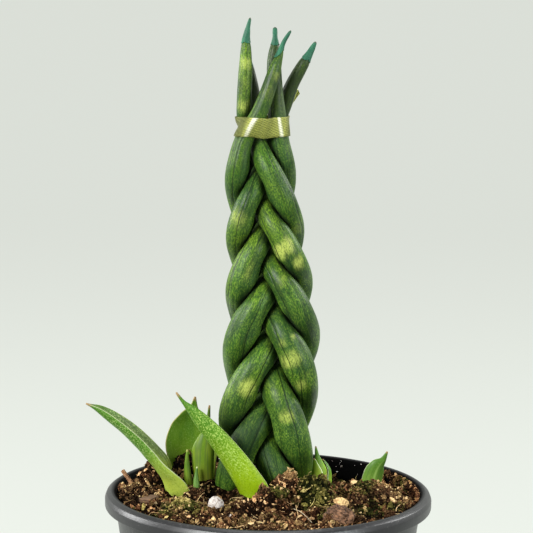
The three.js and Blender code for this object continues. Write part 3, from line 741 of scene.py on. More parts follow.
@dataclass(frozen=True)
class MouldedPlastic:
    """Black nursery plastic: scuffed and a little dusty outside; inside, painted near-black shade."""

    body: Colour = (0.012, 0.012, 0.013)
    dust: Colour = (0.22, 0.21, 0.2)
    # colour of the painted shade inside the pot
    painted_inner_shade: Colour = (0.001, 0.0009, 0.0008)

    def make(self) -> Finish:
        """Builds the material."""
        bench = Bench("moulded_plastic")
        where = bench.place()
        haze = bench.noise(where, 0.018, 4.0, 0.6)
        grain = bench.noise(where, 0.0009, 2.0, 0.6)
        lines = bench.noise(where, 0.0016, 1.0, stretch=(0.02, 0.02, 1))
        scratch = bench.noise(where, 0.0011, stretch=(1, 1, 0.06))
        inside = bench.number("inside")
        dusty = 0.1 * haze.rise(0.45, 0.85) + 0.3 * grain.rise(0.64, 0.8) + 0.12 * scratch.rise(0.62, 0.75)
        # inside the pot the colour is painted near-black shade, broken by lighter flecks, and rough and
        # metallic so it reflects little
        colour = bench.coats(self.body, (dusty, self.dust),
                             (inside * (1 - 0.8 * grain.rise(0.72, 0.78)), self.painted_inner_shade))
        rough = 0.23 + 0.14 * haze + 0.14 * grain + 0.5 * inside
        return bench.shaded(Base_Color=colour, Roughness=rough, Specular_IOR_Level=0.42,
                            Metallic=0.95 * inside, Normal=bench.bump(0.5 * grain + 0.5 * lines, 0.00008))


@dataclass(frozen=True)
class Peat:
    """Crumbly mix, brown, red or mossy; its tint carries painted shade, near black in the depths, and
    painted light where it lies high.
    """

    name: str
    browns: Ramp = (
        (0.0, (0.0018, 0.0009, 0.0004)), (0.24, (0.009, 0.0046, 0.002)), (0.43, (0.062, 0.033, 0.015)),
        (0.61, (0.17, 0.1, 0.042)), (0.8, (0.39, 0.255, 0.1)), (1.0, (0.78, 0.58, 0.29)),
    )
    mosses: Ramp = (
        (0.0, (0.002, 0.0027, 0.0008)), (0.24, (0.014, 0.016, 0.0035)), (0.45, (0.068, 0.068, 0.014)),
        (0.66, (0.215, 0.18, 0.045)), (1.0, (0.65, 0.52, 0.19)),
    )
    reds: Ramp = (
        (0.0, (0.0018, 0.0007, 0.0003)), (0.24, (0.011, 0.0042, 0.0018)), (0.43, (0.078, 0.031, 0.014)),
        (0.61, (0.22, 0.1, 0.044)), (0.8, (0.48, 0.25, 0.105)), (1.0, (0.85, 0.56, 0.28)),
    )
    grain: float = 0.00055

    def make(self) -> Finish:
        """Builds the material."""
        bench = Bench(self.name)
        where = bench.place()
        shade, moss, red = bench.parts(bench.attribute("tint"))
        fine = bench.noise(where, self.grain, 3.0, 0.65)
        broad = bench.noise(where, 0.006)
        tint = shade + 1.15 * (fine - 0.5) + 0.1 * (broad - 0.5)
        mossy = (moss + 0.6 * (fine - 0.5)).rise(0.35, 0.65)
        colour = bench.coats(bench.ramp(tint, self.browns), (red, bench.ramp(tint, self.reds)),
                             (mossy, bench.ramp(tint, self.mosses)))
        return bench.shaded(Base_Color=colour, Roughness=0.78 + 0.2 * fine,
                            Normal=bench.bump(fine + 0.4 * broad, 0.0009), Specular_IOR_Level=0.03)


@dataclass(frozen=True)
class Perlite:
    """White expanded glass, pitted and stained by the mix."""

    name: str = "perlite"
    body: Colour = (0.5, 0.46, 0.42)
    stain: Colour = (0.12, 0.075, 0.055)

    def make(self) -> Finish:
        """Builds the material."""
        bench = Bench(self.name)
        where = bench.place()
        pits = bench.noise(where, 0.0008, 3.0, 0.6)
        patch = bench.noise(where, 0.0022)
        colour = bench.coats(self.body, (0.8 * pits.rise(0.52, 0.36), self.stain),
                             (0.55 * patch.rise(0.58, 0.72), self.stain))
        return bench.shaded(Base_Color=colour, Roughness=0.8 + 0.15 * pits, Normal=bench.bump(pits, 0.0004))


@dataclass(frozen=True)
class Wood:
    """Bark or wood with its grain along the piece."""

    name: str
    dark: Colour
    light: Colour
    turn: float = 0.0  # way of the grain, in radians about the vertical

    def make(self) -> Finish:
        """Builds the material."""
        bench = Bench(self.name)
        turned = bench.node("Mapping", {}, {0: bench.place(), 2: (0.0, 0.0, -self.turn)}).outputs[0]
        grain = bench.noise(turned, 0.0006, 3.0, 0.6, (1, 0.18, 1))
        patch = bench.noise(turned, 0.003)
        colour = bench.coats(self.dark, ((0.7 * grain + 0.3 * patch).rise(0.35, 0.68), self.light))
        return bench.shaded(Base_Color=colour, Roughness=0.72 + 0.2 * grain,
                            Normal=bench.bump(grain + 0.5 * patch, 0.0004), Specular_IOR_Level=0.3)


@dataclass(frozen=True)
class StudioPaper:
    """Seamless pale paper."""

    body: Colour = (0.11, 0.12, 0.11)
    fibre: Colour = (0.08, 0.09, 0.08)
    light: Colour = (0.76, 0.79, 0.73)
    glow: float = 0.86

    def make(self) -> Finish:
        """Builds the material."""
        bench = Bench("studio_paper")
        colour = bench.coats(self.body, (0.1 * bench.noise(bench.place(), 0.004), self.fibre))
        return bench.shaded(Base_Color=colour, Roughness=0.9, Specular_IOR_Level=0.1,
                            Emission_Color=self.light, Emission_Strength=self.glow)


def hand_over(piece: Piece, slot: str, material: Finish, *nodes: str) -> None:
    """Dresses a finished piece, hangs it under the body's empty and hides the CAD nodes that it stands for.

    Args:
        piece: The finished piece.
        slot: Not used.
        material: Its material.
        nodes: CAD nodes that it stands for.
    """
    dress(piece, material)
    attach(piece, BODY)
    if nodes:
        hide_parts(*nodes)
    log.info("%s: %d faces", piece.name, len(piece.data.polygons))


# ---- Studio ----
@dataclass(frozen=True)
class Softbox:
    """A square area light that looks at a point."""

    name: str
    place: Point
    aim: Point
    size: float
    power: float
    colour: Colour = (1.0, 1.0, 1.0)

    def make(self) -> None:
        """Hangs the light."""
        bpy.ops.object.light_add(type="AREA", location=self.place)
        lamp = bpy.context.object
        lamp.name = self.name
        lamp.rotation_euler = (Vector(self.aim) - Vector(self.place)).to_track_quat("-Z", "Y").to_euler()
        lamp.data.shape, lamp.data.size = "SQUARE", self.size
        lamp.data.energy, lamp.data.color = self.power, self.colour


@dataclass
class Studio:
    """A long lens in front, soft light and a round cove of pale paper."""

    eye: Point = (0.0, -0.920483, 0.37997)
    lens: float = 129.694
    sensor: float = 36.0
    pitch: float = 7.728
    yaw: float = 0.12
    roll: float = 0.56
    level_radius: float = 0.6
    floor_radius: float = 2.3
    cove_radius: float = 0.9
    wall_height: float = 3.6
    room_light: float = 0.2
    room_colour: Colour = (0.95, 0.98, 1.0)
    lights: tuple[Softbox, ...] = (
        Softbox("key_softbox", (-1.0, -1.1, 0.85), (0.0, 0.0, 0.2), 0.55, 37.0),
        Softbox("fill_softbox", (1.15, -1.0, 0.7), (0.0, 0.0, 0.18), 0.7, 17.0, (0.93, 0.97, 1.0)),
        Softbox("rim_softbox", (1.1, 0.45, 0.85), (0.0, 0.0, 0.22), 0.5, 12.0),
        Softbox("edge_softbox", (-1.15, 0.3, 0.5), (0.0, 0.0, 0.18), 0.5, 12.0),
        Softbox("top_softbox", (0.0, 0.3, 1.7), (0.0, 0.0, 0.2), 0.9, 12.0),
    )

    def make(self) -> None:
        """Sets up the camera, the lights and the cove."""
        self._camera()
        for light in self.lights:
            light.make()
        world = bpy.data.worlds.new("soft_room")
        world.use_nodes = True
        sky = world.node_tree.nodes["Background"]
        sky.inputs["Color"].default_value = (*self.room_colour, 1.0)
        sky.inputs["Strength"].default_value = self.room_light
        bpy.context.scene.world = world
        bpy.context.scene.view_settings.view_transform = "Standard"
        self._cove()

    def _camera(self) -> None:
        """Aims the camera."""
        bpy.ops.object.camera_add(location=self.eye)
        camera = bpy.context.object
        camera.name = "long_lens"
        camera.matrix_world = (
            Matrix.Translation(self.eye)
            @ Matrix.Rotation(math.radians(self.yaw), 4, "Z")
            @ Matrix.Rotation(math.radians(90.0 - self.pitch), 4, "X")
            @ Matrix.Rotation(math.radians(self.roll), 4, "Z")
        )
        camera.data.lens = self.lens
        camera.data.sensor_width = self.sensor
        bpy.context.scene.camera = camera

    def _cove(self) -> None:
        """Spins the floor and its rounded wall from one line."""
        bend = [
            (self.floor_radius + self.cove_radius * math.sin(a), self.cove_radius * (1 - math.cos(a)))
            for a in np.linspace(0.0, math.pi / 2, 10)
        ]
        top = (self.floor_radius + self.cove_radius, self.wall_height)
        cove = spun("studio_cove", [(0.0, 0.0), (self.level_radius, 0.0), *bend, top], 64)
        smooth_shaded(cove)
        dress(cove, StudioPaper().make())
        # The room's light reaches the plant from all round, as in a light tent.
        cove.visible_diffuse = cove.visible_shadow = False


def spun(name: str, profile: Sequence[tuple[float, float]], steps: int) -> Piece:
    """Turns an open outline about the vertical.

    Args:
        name: Name of the piece.
        profile: Points of radius and height.
        steps: Faces round the piece.

    Returns:
        The turned piece, with its normals made consistent.
    """
    bpy.ops.mesh.primitive_circle_add(vertices=len(profile), radius=1.0)
    made = fresh(name)
    place_points(made, np.array([(radius, 0.0, height) for radius, height in profile]))
    ends = {0, len(profile) - 1}
    pick(made, "EDGE", lambda edge: {vert.index for vert in edge.verts} == ends)
    bpy.ops.mesh.delete(type="EDGE")
    bpy.ops.mesh.select_all(action="SELECT")
    bpy.ops.mesh.spin(steps=steps, angle=TURN, center=(0, 0, 0), axis=(0, 0, 1), use_auto_merge=True)
    bpy.ops.mesh.select_all(action="SELECT")
    bpy.ops.mesh.remove_doubles(threshold=1e-6)
    bpy.ops.mesh.normals_make_consistent(inside=False)
    leave_edit()
    return made


# ---- Pot ----
@dataclass
class NurseryPot:
    """Thin-walled pot with a rolled lip, a hanging skirt and a ring of drain holes."""

    rim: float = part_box("nursery_pot")[1].x
    wall: float = 0.0731  # inner radius under the lip
    foot: float = 0.0548  # inner radius at the floor
    corner: float = 0.005  # height at which the wall leaves the floor's rounding
    lip: float = 0.0085  # height of the lip
    wall_height: float = 0.1315  # from the corner to the lip
    floor: float = 0.0018
    edge_round: float = 0.0005
    drains: int = 8
    drain_radius: float = 0.0035
    drain_circle: float = 0.043
    steps: int = 160

    def outline(self) -> list[tuple[float, float]]:
        """Section from the middle of the underside, up the outside and down the inside."""
        h, rim, wall, foot = RIM, self.rim, self.wall, self.foot
        return [
            (0.0, 0.0), (0.03, 0.0), (foot - 0.0028, 0.0), (foot + 0.0002, 0.0012), (foot + 0.0014, 0.004),
            (foot + 0.0043, 0.024), (wall - 0.0008, h - 0.025), (wall + 0.0015, h - self.lip),
            (wall + 0.0017, h - 0.003), (wall + 0.0034, h - 0.0016), (rim - 0.0015, h - 0.003),
            (rim - 0.0012, h - 0.0072), (rim - 0.0005, h - 0.0077), (rim - 0.00005, h - 0.0072),
            (rim, h - 0.0034), (rim - 0.0009, h - 0.0012), (rim - 0.0026, h), (wall + 0.003, h),
            (wall + 0.0019, h - 0.0006), (wall + 0.001, h - 0.0018), (wall, h - self.lip),
            (foot + 0.0025, 0.024), (foot, self.corner), (foot - 0.0023, self.floor), (0.03, self.floor),
            (0.0, self.floor),
        ]

    def wall_radius(self, z: Floats) -> Floats:
        """Inner radius of the wall at a height above the underside."""
        return self.foot + (self.wall - self.foot) * (z - self.corner) / self.wall_height

    def make(self) -> None:
        """Spins the shell, rounds its edges and drills the drains."""
        shell = spun("nursery_pot_shell", self.outline(), self.steps)
        apply(shell, "BEVEL", width=self.edge_round, segments=3, limit_method="ANGLE",
              angle_limit=math.radians(14.0))
        drill = self._drill()
        apply(shell, "BOOLEAN", object=drill, operation="DIFFERENCE", solver="EXACT")
        only(drill)
        bpy.ops.object.delete()
        smooth_shaded(shell, 32.0)
        note(shell, "inside", self._inside(points_of(shell)))
        hand_over(shell, "pot_plastic", MouldedPlastic().make(), "nursery_pot")

    def _drill(self) -> Piece:
        """A ring of pegs that cut the drains, as one piece."""
        pegs = []
        for i in range(self.drains):
            angle = TURN * (i + 0.5) / self.drains
            bpy.ops.mesh.primitive_cylinder_add(
                vertices=40, radius=self.drain_radius, depth=0.006,
                location=(self.drain_circle * math.cos(angle), self.drain_circle * math.sin(angle), 0.0))
            pegs.append(fresh("drill"))
        only(*pegs)
        bpy.ops.object.join()
        return bpy.context.object

    def _inside(self, points: Array) -> Array:
        """Tells the pot's inner skin from its outer one.

        Args:
            points: The shell's vertices.

        Returns:
            1 on the inner skin and inside the lip, 0 on the outer skin.
        """
        x, y, z = points.T
        reach = np.hypot(x, y)
        within = self.wall_radius(np.minimum(z, RIM - self.lip)) + 0.0007 - reach
        # the inner crest of the lip counts as inside, so the painted shade covers it and dulls its glint
        within[(reach < self.wall + 0.0034) & (z > RIM - 0.0022)] = 0.001
        above_floor = smooth_step(z, 0.0008, 0.0014)
        return smooth_step(within, 0.0, 0.0004) * smooth_step(RIM - z, -0.0004, 0.0006) * above_floor


# ---- Braid ----
@dataclass(frozen=True)
class LeafPlan:
    """One braided leaf: its turn in the braid, its girth and its looks."""

    number: int
    phase: int
    low: float  # radius in the lower braid
    high: float  # radius in the upper braid
    dip: float  # height of the dip line
    end: Table  # free end: x, y, height, radius
    furrows: tuple[float, ...]  # degrees round the leaf, where -90 faces the front
    blushes: Table = ()  # height, degrees, half height, half degrees, strength
    # patches of painted shade, with the same columns as the blushes
    painted_shades: Table = ()  # the same for its dark patches
    slant: tuple[float, float] = (0.0, 0.0)  # rise of the dip line, and the degrees it rises to
    lightness: float = 0.5
    # darkening of the free end: partly its drier colour, partly painted shade
    dryness_and_shade: float = 0.5  # how dark its free end is


LEAF_PLANS = (
    LeafPlan(1, phase=4, low=0.0074, high=0.0059, dip=0.2174, end=(
        (-0.0081, 0.0075, 0.1721, 0.0046), (-0.0106, 0.0065, 0.177, 0.0041),
        (-0.0136, 0.0035, 0.1829, 0.0036), (-0.0134, 0.0025, 0.1925, 0.0035),
        (-0.013, 0.002, 0.2021, 0.0034), (-0.0128, 0.002, 0.2102, 0.0029),
        (-0.0128, 0.002, 0.2178, 0.0023), (-0.012, 0.002, 0.224, 0.0015),
        (-0.0108, 0.002, 0.2294, 0.0005)),
        furrows=(-120, -67.5, -30, 30, 105, 165), lightness=0.6, dryness_and_shade=0.0, blushes=(
        (0.1318, -62, 0.0029, 29, 0.4), (0.1872, -90, 0.0032, 62, 0.55), (0.198, -96, 0.008, 70, 0.32),
        (0.2086, -92, 0.0026, 70, 0.52)), painted_shades=(
        (0.0792, -125, 0.003, 30, 0.5), (0.064, -70, 0.005, 35, 0.4), (0.013, -115, 0.008, 70, 0.6))),
    LeafPlan(2, phase=3, low=0.007, high=0.0058, dip=0.206, end=(
        (-0.0067, 0.015, 0.1716, 0.0045), (-0.0077, 0.0145, 0.1765, 0.0042),
        (-0.0085, 0.0135, 0.1824, 0.0039), (-0.0094, 0.0125, 0.1921, 0.0036),
        (-0.0101, 0.012, 0.197, 0.0033), (-0.0115, 0.0115, 0.2052, 0.0026),
        (-0.0122, 0.011, 0.2109, 0.0018), (-0.0127, 0.011, 0.2154, 0.0008)),
        furrows=(-97.5, -52.5, -150, 45, 120, 180), lightness=0.55, dryness_and_shade=0.9, blushes=(
        (0.1208, -77, 0.0024, 22, 0.95), (0.1201, -125, 0.0026, 34, 0.95), (0.1146, -59, 0.0019, 26, 0.9),
        (0.0529, -75, 0.0036, 33, 0.7), (0.0532, -79, 0.0018, 12, 1.0), (0.086, 80, 0.003, 40, 0.6)),
        painted_shades=((0.0395, -115, 0.0052, 60, 0.95), (0.101, -60, 0.004, 40, 0.5))),
    LeafPlan(3, phase=0, low=0.0077, high=0.0058, dip=0.2165, end=(
        (0.0035, 0.005, 0.1724, 0.0047), (0.0031, 0.005, 0.1772, 0.0046),
        (0.0024, 0.005, 0.183, 0.0045), (0.0015, 0.0055, 0.1926, 0.004),
        (0.001, 0.006, 0.1997, 0.0037), (0.0007, 0.0065, 0.2093, 0.0033),
        (0.0011, 0.007, 0.2174, 0.0021), (0.001, 0.007, 0.225, 0.0008)),
        furrows=(-112.5, -75, -142.5, 0, 60, 135), lightness=0.3, dryness_and_shade=0.65, blushes=(
        (0.1105, -73, 0.0047, 20, 0.4), (0.1056, -78, 0.0014, 16, 0.35), (0.0387, -93, 0.0029, 30, 0.6),
        (0.0298, -64, 0.0009, 14, 0.5), (0.07, 95, 0.0028, 36, 0.5))),
    LeafPlan(4, phase=2, low=0.0074, high=0.0054, dip=0.2122, end=(
        (-0.0127, 0.0005, 0.1726, 0.0046), (-0.0097, -0.0015, 0.178, 0.0043),
        (-0.0066, -0.002, 0.1833, 0.004), (-0.0036, -0.002, 0.1905, 0.0037),
        (-0.0013, -0.0015, 0.1971, 0.0034), (0.0008, -0.001, 0.2038, 0.0031),
        (0.0028, -0.0005, 0.2109, 0.0021), (0.0049, -0.0005, 0.2171, 0.0013),
        (0.0086, -0.0005, 0.2236, 0.0005)),
        furrows=(-105, -60, -135, 15, 90, 150), slant=(0.0026, 0.0), lightness=0.5, dryness_and_shade=0.25, blushes=(
        (0.1034, -100, 0.002, 40, 0.35), (0.2023, -58, 0.0026, 50, 0.5), (0.1943, -78, 0.0036, 60, 0.4),
        (0.119, 90, 0.0028, 36, 0.55)), painted_shades=(
        (0.0225, -112, 0.011, 62, 0.95), (0.09, -105, 0.004, 35, 0.5))),
    LeafPlan(5, phase=1, low=0.0072, high=0.0055, dip=0.2095, end=(
        (-0.0004, 0.0145, 0.1717, 0.0045), (0.0018, 0.014, 0.1766, 0.0043),
        (0.0039, 0.013, 0.1826, 0.004), (0.0069, 0.012, 0.1904, 0.0037),
        (0.0092, 0.0115, 0.1967, 0.0033), (0.013, 0.011, 0.204, 0.003),
        (0.0171, 0.0105, 0.2112, 0.0023), (0.0208, 0.0105, 0.2182, 0.0006)),
        furrows=(-97.5, -45, -127.5, 22.5, 82.5, 157.5), lightness=0.5, dryness_and_shade=0.8, blushes=(
        (0.0674, -120, 0.0034, 44, 0.7), (0.0757, -120, 0.0009, 18, 0.55), (0.0752, -64, 0.0008, 16, 0.5),
        (0.0571, -98, 0.0023, 26, 0.55), (0.0598, -66, 0.001, 17, 0.6), (0.1342, -107, 0.0042, 44, 0.5),
        (0.102, 75, 0.003, 40, 0.6)), painted_shades=(
        (0.1215, -123, 0.0035, 32, 0.55), (0.03, -80, 0.005, 50, 0.45))),
)


class Strand:
    """Centre line and radius of a braided leaf against the height above the rim."""

    foot: ClassVar[float] = -0.0225
    even_top: ClassVar[float] = 0.162  # the even braid ends here, below the ribbon
    half_width: ClassVar[Smooth] = Smooth((-0.03, 0.0, 0.045, 0.06, 0.075, 0.102, 0.128, 0.156),
                                          (0.015, 0.0164, 0.0169, 0.0172, 0.0166, 0.0147, 0.0134, 0.012))
    half_depth: ClassVar[Smooth] = Smooth((-0.03, 0.0, 0.045, 0.075, 0.102, 0.128, 0.156),
                                          (0.0116, 0.012, 0.012, 0.0114, 0.0106, 0.0098, 0.0086))
    axis_x: ClassVar[Smooth] = Smooth((-0.03, 0.005, 0.032, 0.068, 0.095, 0.122, 0.15),
                                      (-0.0025, -0.0024, -0.0012, 0.0012, 0.0002, -0.0024, -0.005))
    axis_y: ClassVar[float] = 0.006
    turn: ClassVar[float] = math.radians(-5.0)
    squareness: ClassVar[float] = 0.12
    strands: ClassVar[int] = 5
    # Heights at which one leaf after another reaches the right-hand edge.
    turns: ClassVar[Smooth] = Smooth((-0.0255, 0.0141, 0.0485, 0.0802, 0.1068, 0.1328, 0.1605, 0.1895),
                                     (-1.2, 0.0, 1.0, 2.0, 3.0, 4.0, 5.0, 6.0))
    level_foot: ClassVar[float] = 0.014  # length over which the leaf turns from its level cut
    near_reach: ClassVar[float] = 0.024  # beads farther off than this can't touch a ring

    def __init__(self, plan: LeafPlan) -> None:
        """Joins the even part of the braid to the leaf's free end.

        Args:
            plan: The leaf's turn, girth and free end.
        """
        ratio = plan.high / plan.low
        swell = Smooth((-0.03, 0.02, 0.06, 0.1, 0.125, 0.162),
                       (0.95, 1.0, 0.98, 0.5 + 0.5 * ratio, ratio, 0.93 * ratio))
        z = np.arange(self.foot - 0.004, self.even_top, 0.003)
        even = np.column_stack([*self._braided(plan.phase, z), z, plan.low * swell(z)])
        rows = np.vstack([even, np.array(plan.end)])
        self.x, self.y, self.radius = (Smooth(rows[:, 2], rows[:, k]) for k in (0, 1, 3))
        self.top = float(rows[-1, 2])
        self.beads_z = np.arange(self.foot, self.top, 0.0012)
        self.beads = self.centre(self.beads_z)
        self.bead_radius = self.radius(self.beads_z)

    def _braided(self, phase: int, z: Array) -> Pair:
        """Path of a strand in the even braid.

        Args:
            phase: The leaf's turn in the braid.
            z: Heights above the rim.

        Returns:
            Its places along x and along y.
        """
        angle = math.pi / 2 + TURN * (self.turns(z) - phase) / self.strands
        side = self.half_width(z) * np.sin(angle)
        depth = self.half_depth(z) * (np.sin(2 * angle) + self.squareness * np.sin(6 * angle))
        c, s = math.cos(self.turn), math.sin(self.turn)
        return self.axis_x(z) + side * c - depth * s, self.axis_y + side * s + depth * c

    def centre(self, z: Array) -> Array:
        """Points on the centre line."""
        z = np.asarray(z, float)
        return np.stack([self.x(z), self.y(z), RIM + z], axis=-1)

    def heading(self, z: Array) -> Array:
        """Unit vectors along the leaf; its foot is cut level."""
        z = np.asarray(z, float)
        slope = unit(self.centre(z + 0.0003) - self.centre(z - 0.0003))
        share = smooth_step(z, self.foot, self.foot + self.level_foot)[..., None]
        return unit(slope * share + np.array((0.0, 0.0, 1.0)) * (1 - share))

    def near(self, z: float) -> Pair:
        """Centres and radii of the beads about a height."""
        close = np.abs(self.beads_z - z) < self.near_reach
        return self.beads[close], self.bead_radius[close]

    def height_of_radius(self, radius: float) -> float:
        """Highest place where the leaf is this thick."""
        z = np.arange(self.top, self.even_top, -0.0001)
        return float(z[np.argmax(self.radius(z) >= radius)])


@dataclass
class Braid:
    """Five leaves pressed against each other, their ends dipped in wax."""

    plans: tuple[LeafPlan, ...] = LEAF_PLANS
    sides: int = 48
    rings: int = 150
    tip_sides: int = 32
    tip_rings: int = 22
    press_gap: float = 0.0005
    halvings: int = 9  # steps of the search for the pressed skin
    crease: float = 0.0008  # rounding where two leaves part
    core_fill: float = 0.34  # how far the hidden sides of the leaves bulge into the braid's core
    furrow_depth: float = 0.00024
    # reach of the painted shade between the leaves
    crevice_shade_width: float = 0.003
    wax_wall: float = 0.0003
    wax_stand: float = 0.00006
    wax_gap: float = 0.00008  # between the leaf and its wax
    strands: list[Strand] = field(init=False)

    def __post_init__(self) -> None:
        """Lays out the centre lines."""
        self.strands = [Strand(plan) for plan in self.plans]

    def make(self) -> list[Piece]:
        """Builds the leaves and their wax tips, and returns the leaves."""
        wax = DippedWax().make()
        skin = LeafSkin()
        leaves = []
        for index, plan in enumerate(self.plans):
            leaves.append(self._leaf(index))
            hand_over(leaves[-1], "braid_leaf", skin.make(plan.number, plan.lightness, plan.dryness_and_shade),
                      f"braid_leaf_{plan.number}")
            hand_over(self._tip(index), "teal_wax", wax, f"wax_tip_{plan.number}")
        return leaves

    @staticmethod
    def _room(points: Array, beads: list[Pair]) -> Array:
        """Distance from points to the nearest of some round beads, negative inside.

        Args:
            points: Rows of x, y, z.
            beads: Centres and radii of the beads of each leaf.

        Returns:
            One distance for each point.
        """
        least = np.full(len(points), np.inf)
        for centres, radii in beads:
            gaps = np.linalg.norm(points[:, None] - centres[None], axis=2) - radii
            least = np.minimum(least, gaps.min(axis=1))
        return least

    def _pressed(self, index: int, z: float, rays: Array, radius: Array) -> Array:
        """How far a leaf's skin stands out along its rays.

        Args:
            index: The leaf.
            z: Height of the ring.
            rays: Unit vectors from the centre line.
            radius: Radius of the free leaf along each ray.

        Returns:
            The radius after the leaves have flattened against each other.
        """
        near = [strand.near(z) for strand in self.strands]
        own, others = near[index], [item for k, item in enumerate(near) if k != index and len(item[0])]
        centre = self.strands[index].centre(z)
        low, high = np.zeros_like(radius), 1.4 * radius

        def free(reach: Array) -> Array:
            """True where the skin at this reach is still clear of the other leaves."""
            points = centre + rays * reach[:, None]
            return self._room(points, others) - self._room(points, [own]) >= self.press_gap

        clear = free(high)
        for _ in range(self.halvings):
            middle = (low + high) / 2
            inside = free(middle)
            low, high = np.where(inside, middle, low), np.where(inside, high, middle)
        rounding = self.crease * np.log1p(np.exp(np.minimum((radius - low) / self.crease, 40.0)))
        return np.where(clear, radius, radius - rounding)

    def _dip_line(self, plan: LeafPlan, angle: Array) -> Array:
        """Height of the wax's lower edge round the leaf.

        Args:
            plan: The leaf.
            angle: Angles round it.

        Returns:
            One height for each angle.
        """
        rise, towards = plan.slant
        wave = 0.00035 * np.sin(3 * angle + plan.number) + 0.0002 * np.sin(7 * angle + 2 * plan.number)
        return plan.dip + rise * np.cos(angle - math.radians(towards)) + wave

    def _leaf(self, index: int) -> Piece:
        """Lays one leaf into the braid.

        Args:
            index: The leaf.

        Returns:
            The piece.
        """
        plan, strand = self.plans[index], self.strands[index]
        blank = Blank(f"braided_leaf_{plan.number}", self.sides, self.rings)
        inset = self.wax_wall - self.wax_stand + self.wax_gap
        heights = strand.foot + (strand.height_of_radius(inset + 0.0003) - strand.foot) * blank.share
        centres, rays = strand.centre(heights), blank.rays(strand.heading(heights))
        girth = strand.radius(heights)
        straight = stacked(girth[:, None] * np.cos(blank.angle), girth[:, None] * np.sin(blank.angle),
                           heights[:, None])
        furrow = self._furrows(plan, blank.angle, heights)
        swell = 1 + 0.016 * ripple(straight * (1, 1, 0.6) + 3.0 * plan.number, 0.009, plan.number)
        swell = swell * self._core_swell(centres, heights, rays)
        reach = np.empty_like(furrow)
        for i, z in enumerate(heights):
            reach[i] = self._pressed(index, z, rays[i], girth[i] * swell[i])
        depth = self.furrow_depth * np.clip(girth / 0.006, 0.25, 1.0)
        reach -= furrow * depth[:, None]
        waxed = smooth_step(heights[:, None] - self._dip_line(plan, blank.angle), -0.0002, 0.0003)
        reach = np.maximum(reach * (1 - 0.22 * waxed) - inset * waxed, 0.0002)
        skin = centres[:, None] + rays * reach[..., None]
        blank.lay(skin)
        blank.note("straight", straight)
        blank.note("furrow", furrow)
        blank.note("blush", self._patches(plan.blushes, blank.angle, heights))
        blank.note("shade", self._patches(plan.painted_shades, blank.angle, heights))
        # painted shade between the leaves, by their nearness
        blank.note("crevice", np.array([self._crevice_shade(index, z, row) for z, row in zip(heights, skin)]))
        return blank.finished()

    def _crevice_shade(self, index: int, z: float, points: Array) -> Array:
        """How deep the points of a ring lie between the leaves, from 0 to 1, which sets the painted shade
        there.

        Args:
            index: The leaf that the ring is on.
            z: Height of the ring above the rim.
            points: The ring's points.

        Returns:
            One value for each point.
        """
        near = [strand.near(z) for k, strand in enumerate(self.strands) if k != index]
        return smooth_step(self._room(points, near), self.crevice_shade_width, 0.0002) ** 1.3

    def _core_swell(self, centres: Array, heights: Array, rays: Array) -> Array:
        """Growth of the sides that look into the braid, which closes the gaps between leaves.

        Args:
            centres: Points on the leaf's centre line.
            heights: Their heights above the rim.
            rays: Unit vectors from the centre line, a row for each ring.

        Returns:
            A factor for every ray.
        """
        axis = np.column_stack([Strand.axis_x(heights), np.full_like(heights, Strand.axis_y)])
        inward = axis - centres[:, :2]
        far = np.linalg.norm(inward, axis=1)
        way = np.column_stack([inward / np.maximum(far, 1e-6)[:, None], np.zeros_like(far)])
        facing = smooth_step(np.sum(rays * way[:, None], axis=2), -0.1, 0.9)
        share = smooth_step(far, 0.002, 0.008) * smooth_step(heights, 0.172, 0.155)
        return 1 + self.core_fill * facing * (share * smooth_step(heights, 0.0, 0.012))[:, None]

    def _furrows(self, plan: LeafPlan, angle: Array, heights: Array) -> Array:
        """Lays out the leaf's lengthwise furrows, which come and go along it.

        Args:
            plan: The leaf.
            angle: Angles of its columns.
            heights: Heights of its rings.

        Returns:
            Their depth from 0 to 1.
        """
        grid = np.zeros((len(heights), len(angle)))
        for k, degrees in enumerate(plan.furrows):
            column = round(degrees / 360 * len(angle)) % len(angle)
            wave = 0.62 + 0.38 * np.sin(heights / 0.0155 + 2.1 * k + plan.number)
            grid[:, column] = wave * smooth_step(heights, 0.215, 0.19)
        return grid

    def _patches(self, table: Table, angle: Array, heights: Array) -> Array:
        """Lays out a leaf's blushes or its patches of painted shade, which are soft at their edges.

        Args:
            table: The patches.
            angle: Angles of the leaf's columns.
            heights: Heights of its rings.

        Returns:
            Their strength.
        """
        grid = np.zeros((len(heights), len(angle)))
        for height, degrees, tall, wide, strength in table:
            off = np.angle(np.exp(1j * (angle - math.radians(degrees)))) / math.radians(1.25 * wide)
            rise = (heights - height) / (1.25 * tall)
            grid = np.maximum(grid, strength * np.exp(-np.abs(rise[:, None]) ** 3.2 - np.abs(off) ** 3.2))
        return grid

    def _tip(self, index: int) -> Piece:
        """Coats the end of a leaf with wax: a thin open cap with a soft lower edge.

        Args:
            index: The leaf.

        Returns:
            The piece.
        """
        plan, strand = self.plans[index], self.strands[index]
        blank = Blank(f"dipped_tip_{plan.number}", self.tip_sides, self.tip_rings)
        blank.open_foot()
        foot = self._dip_line(plan, blank.angle)
        z = foot + (strand.top - foot) * blank.share[:, None]
        share = blank.share[:, None]
        wrung = 1 + 0.16 * share * np.sin(2 * blank.angle + 5.0 * share + plan.number)
        slim = (1 - 0.2 * np.sin(math.pi * share ** 0.8)) * wrung
        left = (strand.top - z) / 0.0007
        dome = np.sqrt(np.clip(1 - np.clip(1 - left, 0, 1) ** 2, 0.02, 1))
        lumps = 0.00012 * ripple(strand.centre(z) + plan.number, 0.0021, 5.0)
        reach = (strand.radius(z) * slim + self.wax_stand + lumps) * dome
        blank.lay(strand.centre(z) + blank.rays(strand.heading(z)) * reach[..., None])
        blank.note("along", np.repeat(share, blank.sides, axis=1))
        apply(blank.obj, "SOLIDIFY", thickness=self.wax_wall, offset=-1.0)
        return blank.finished()


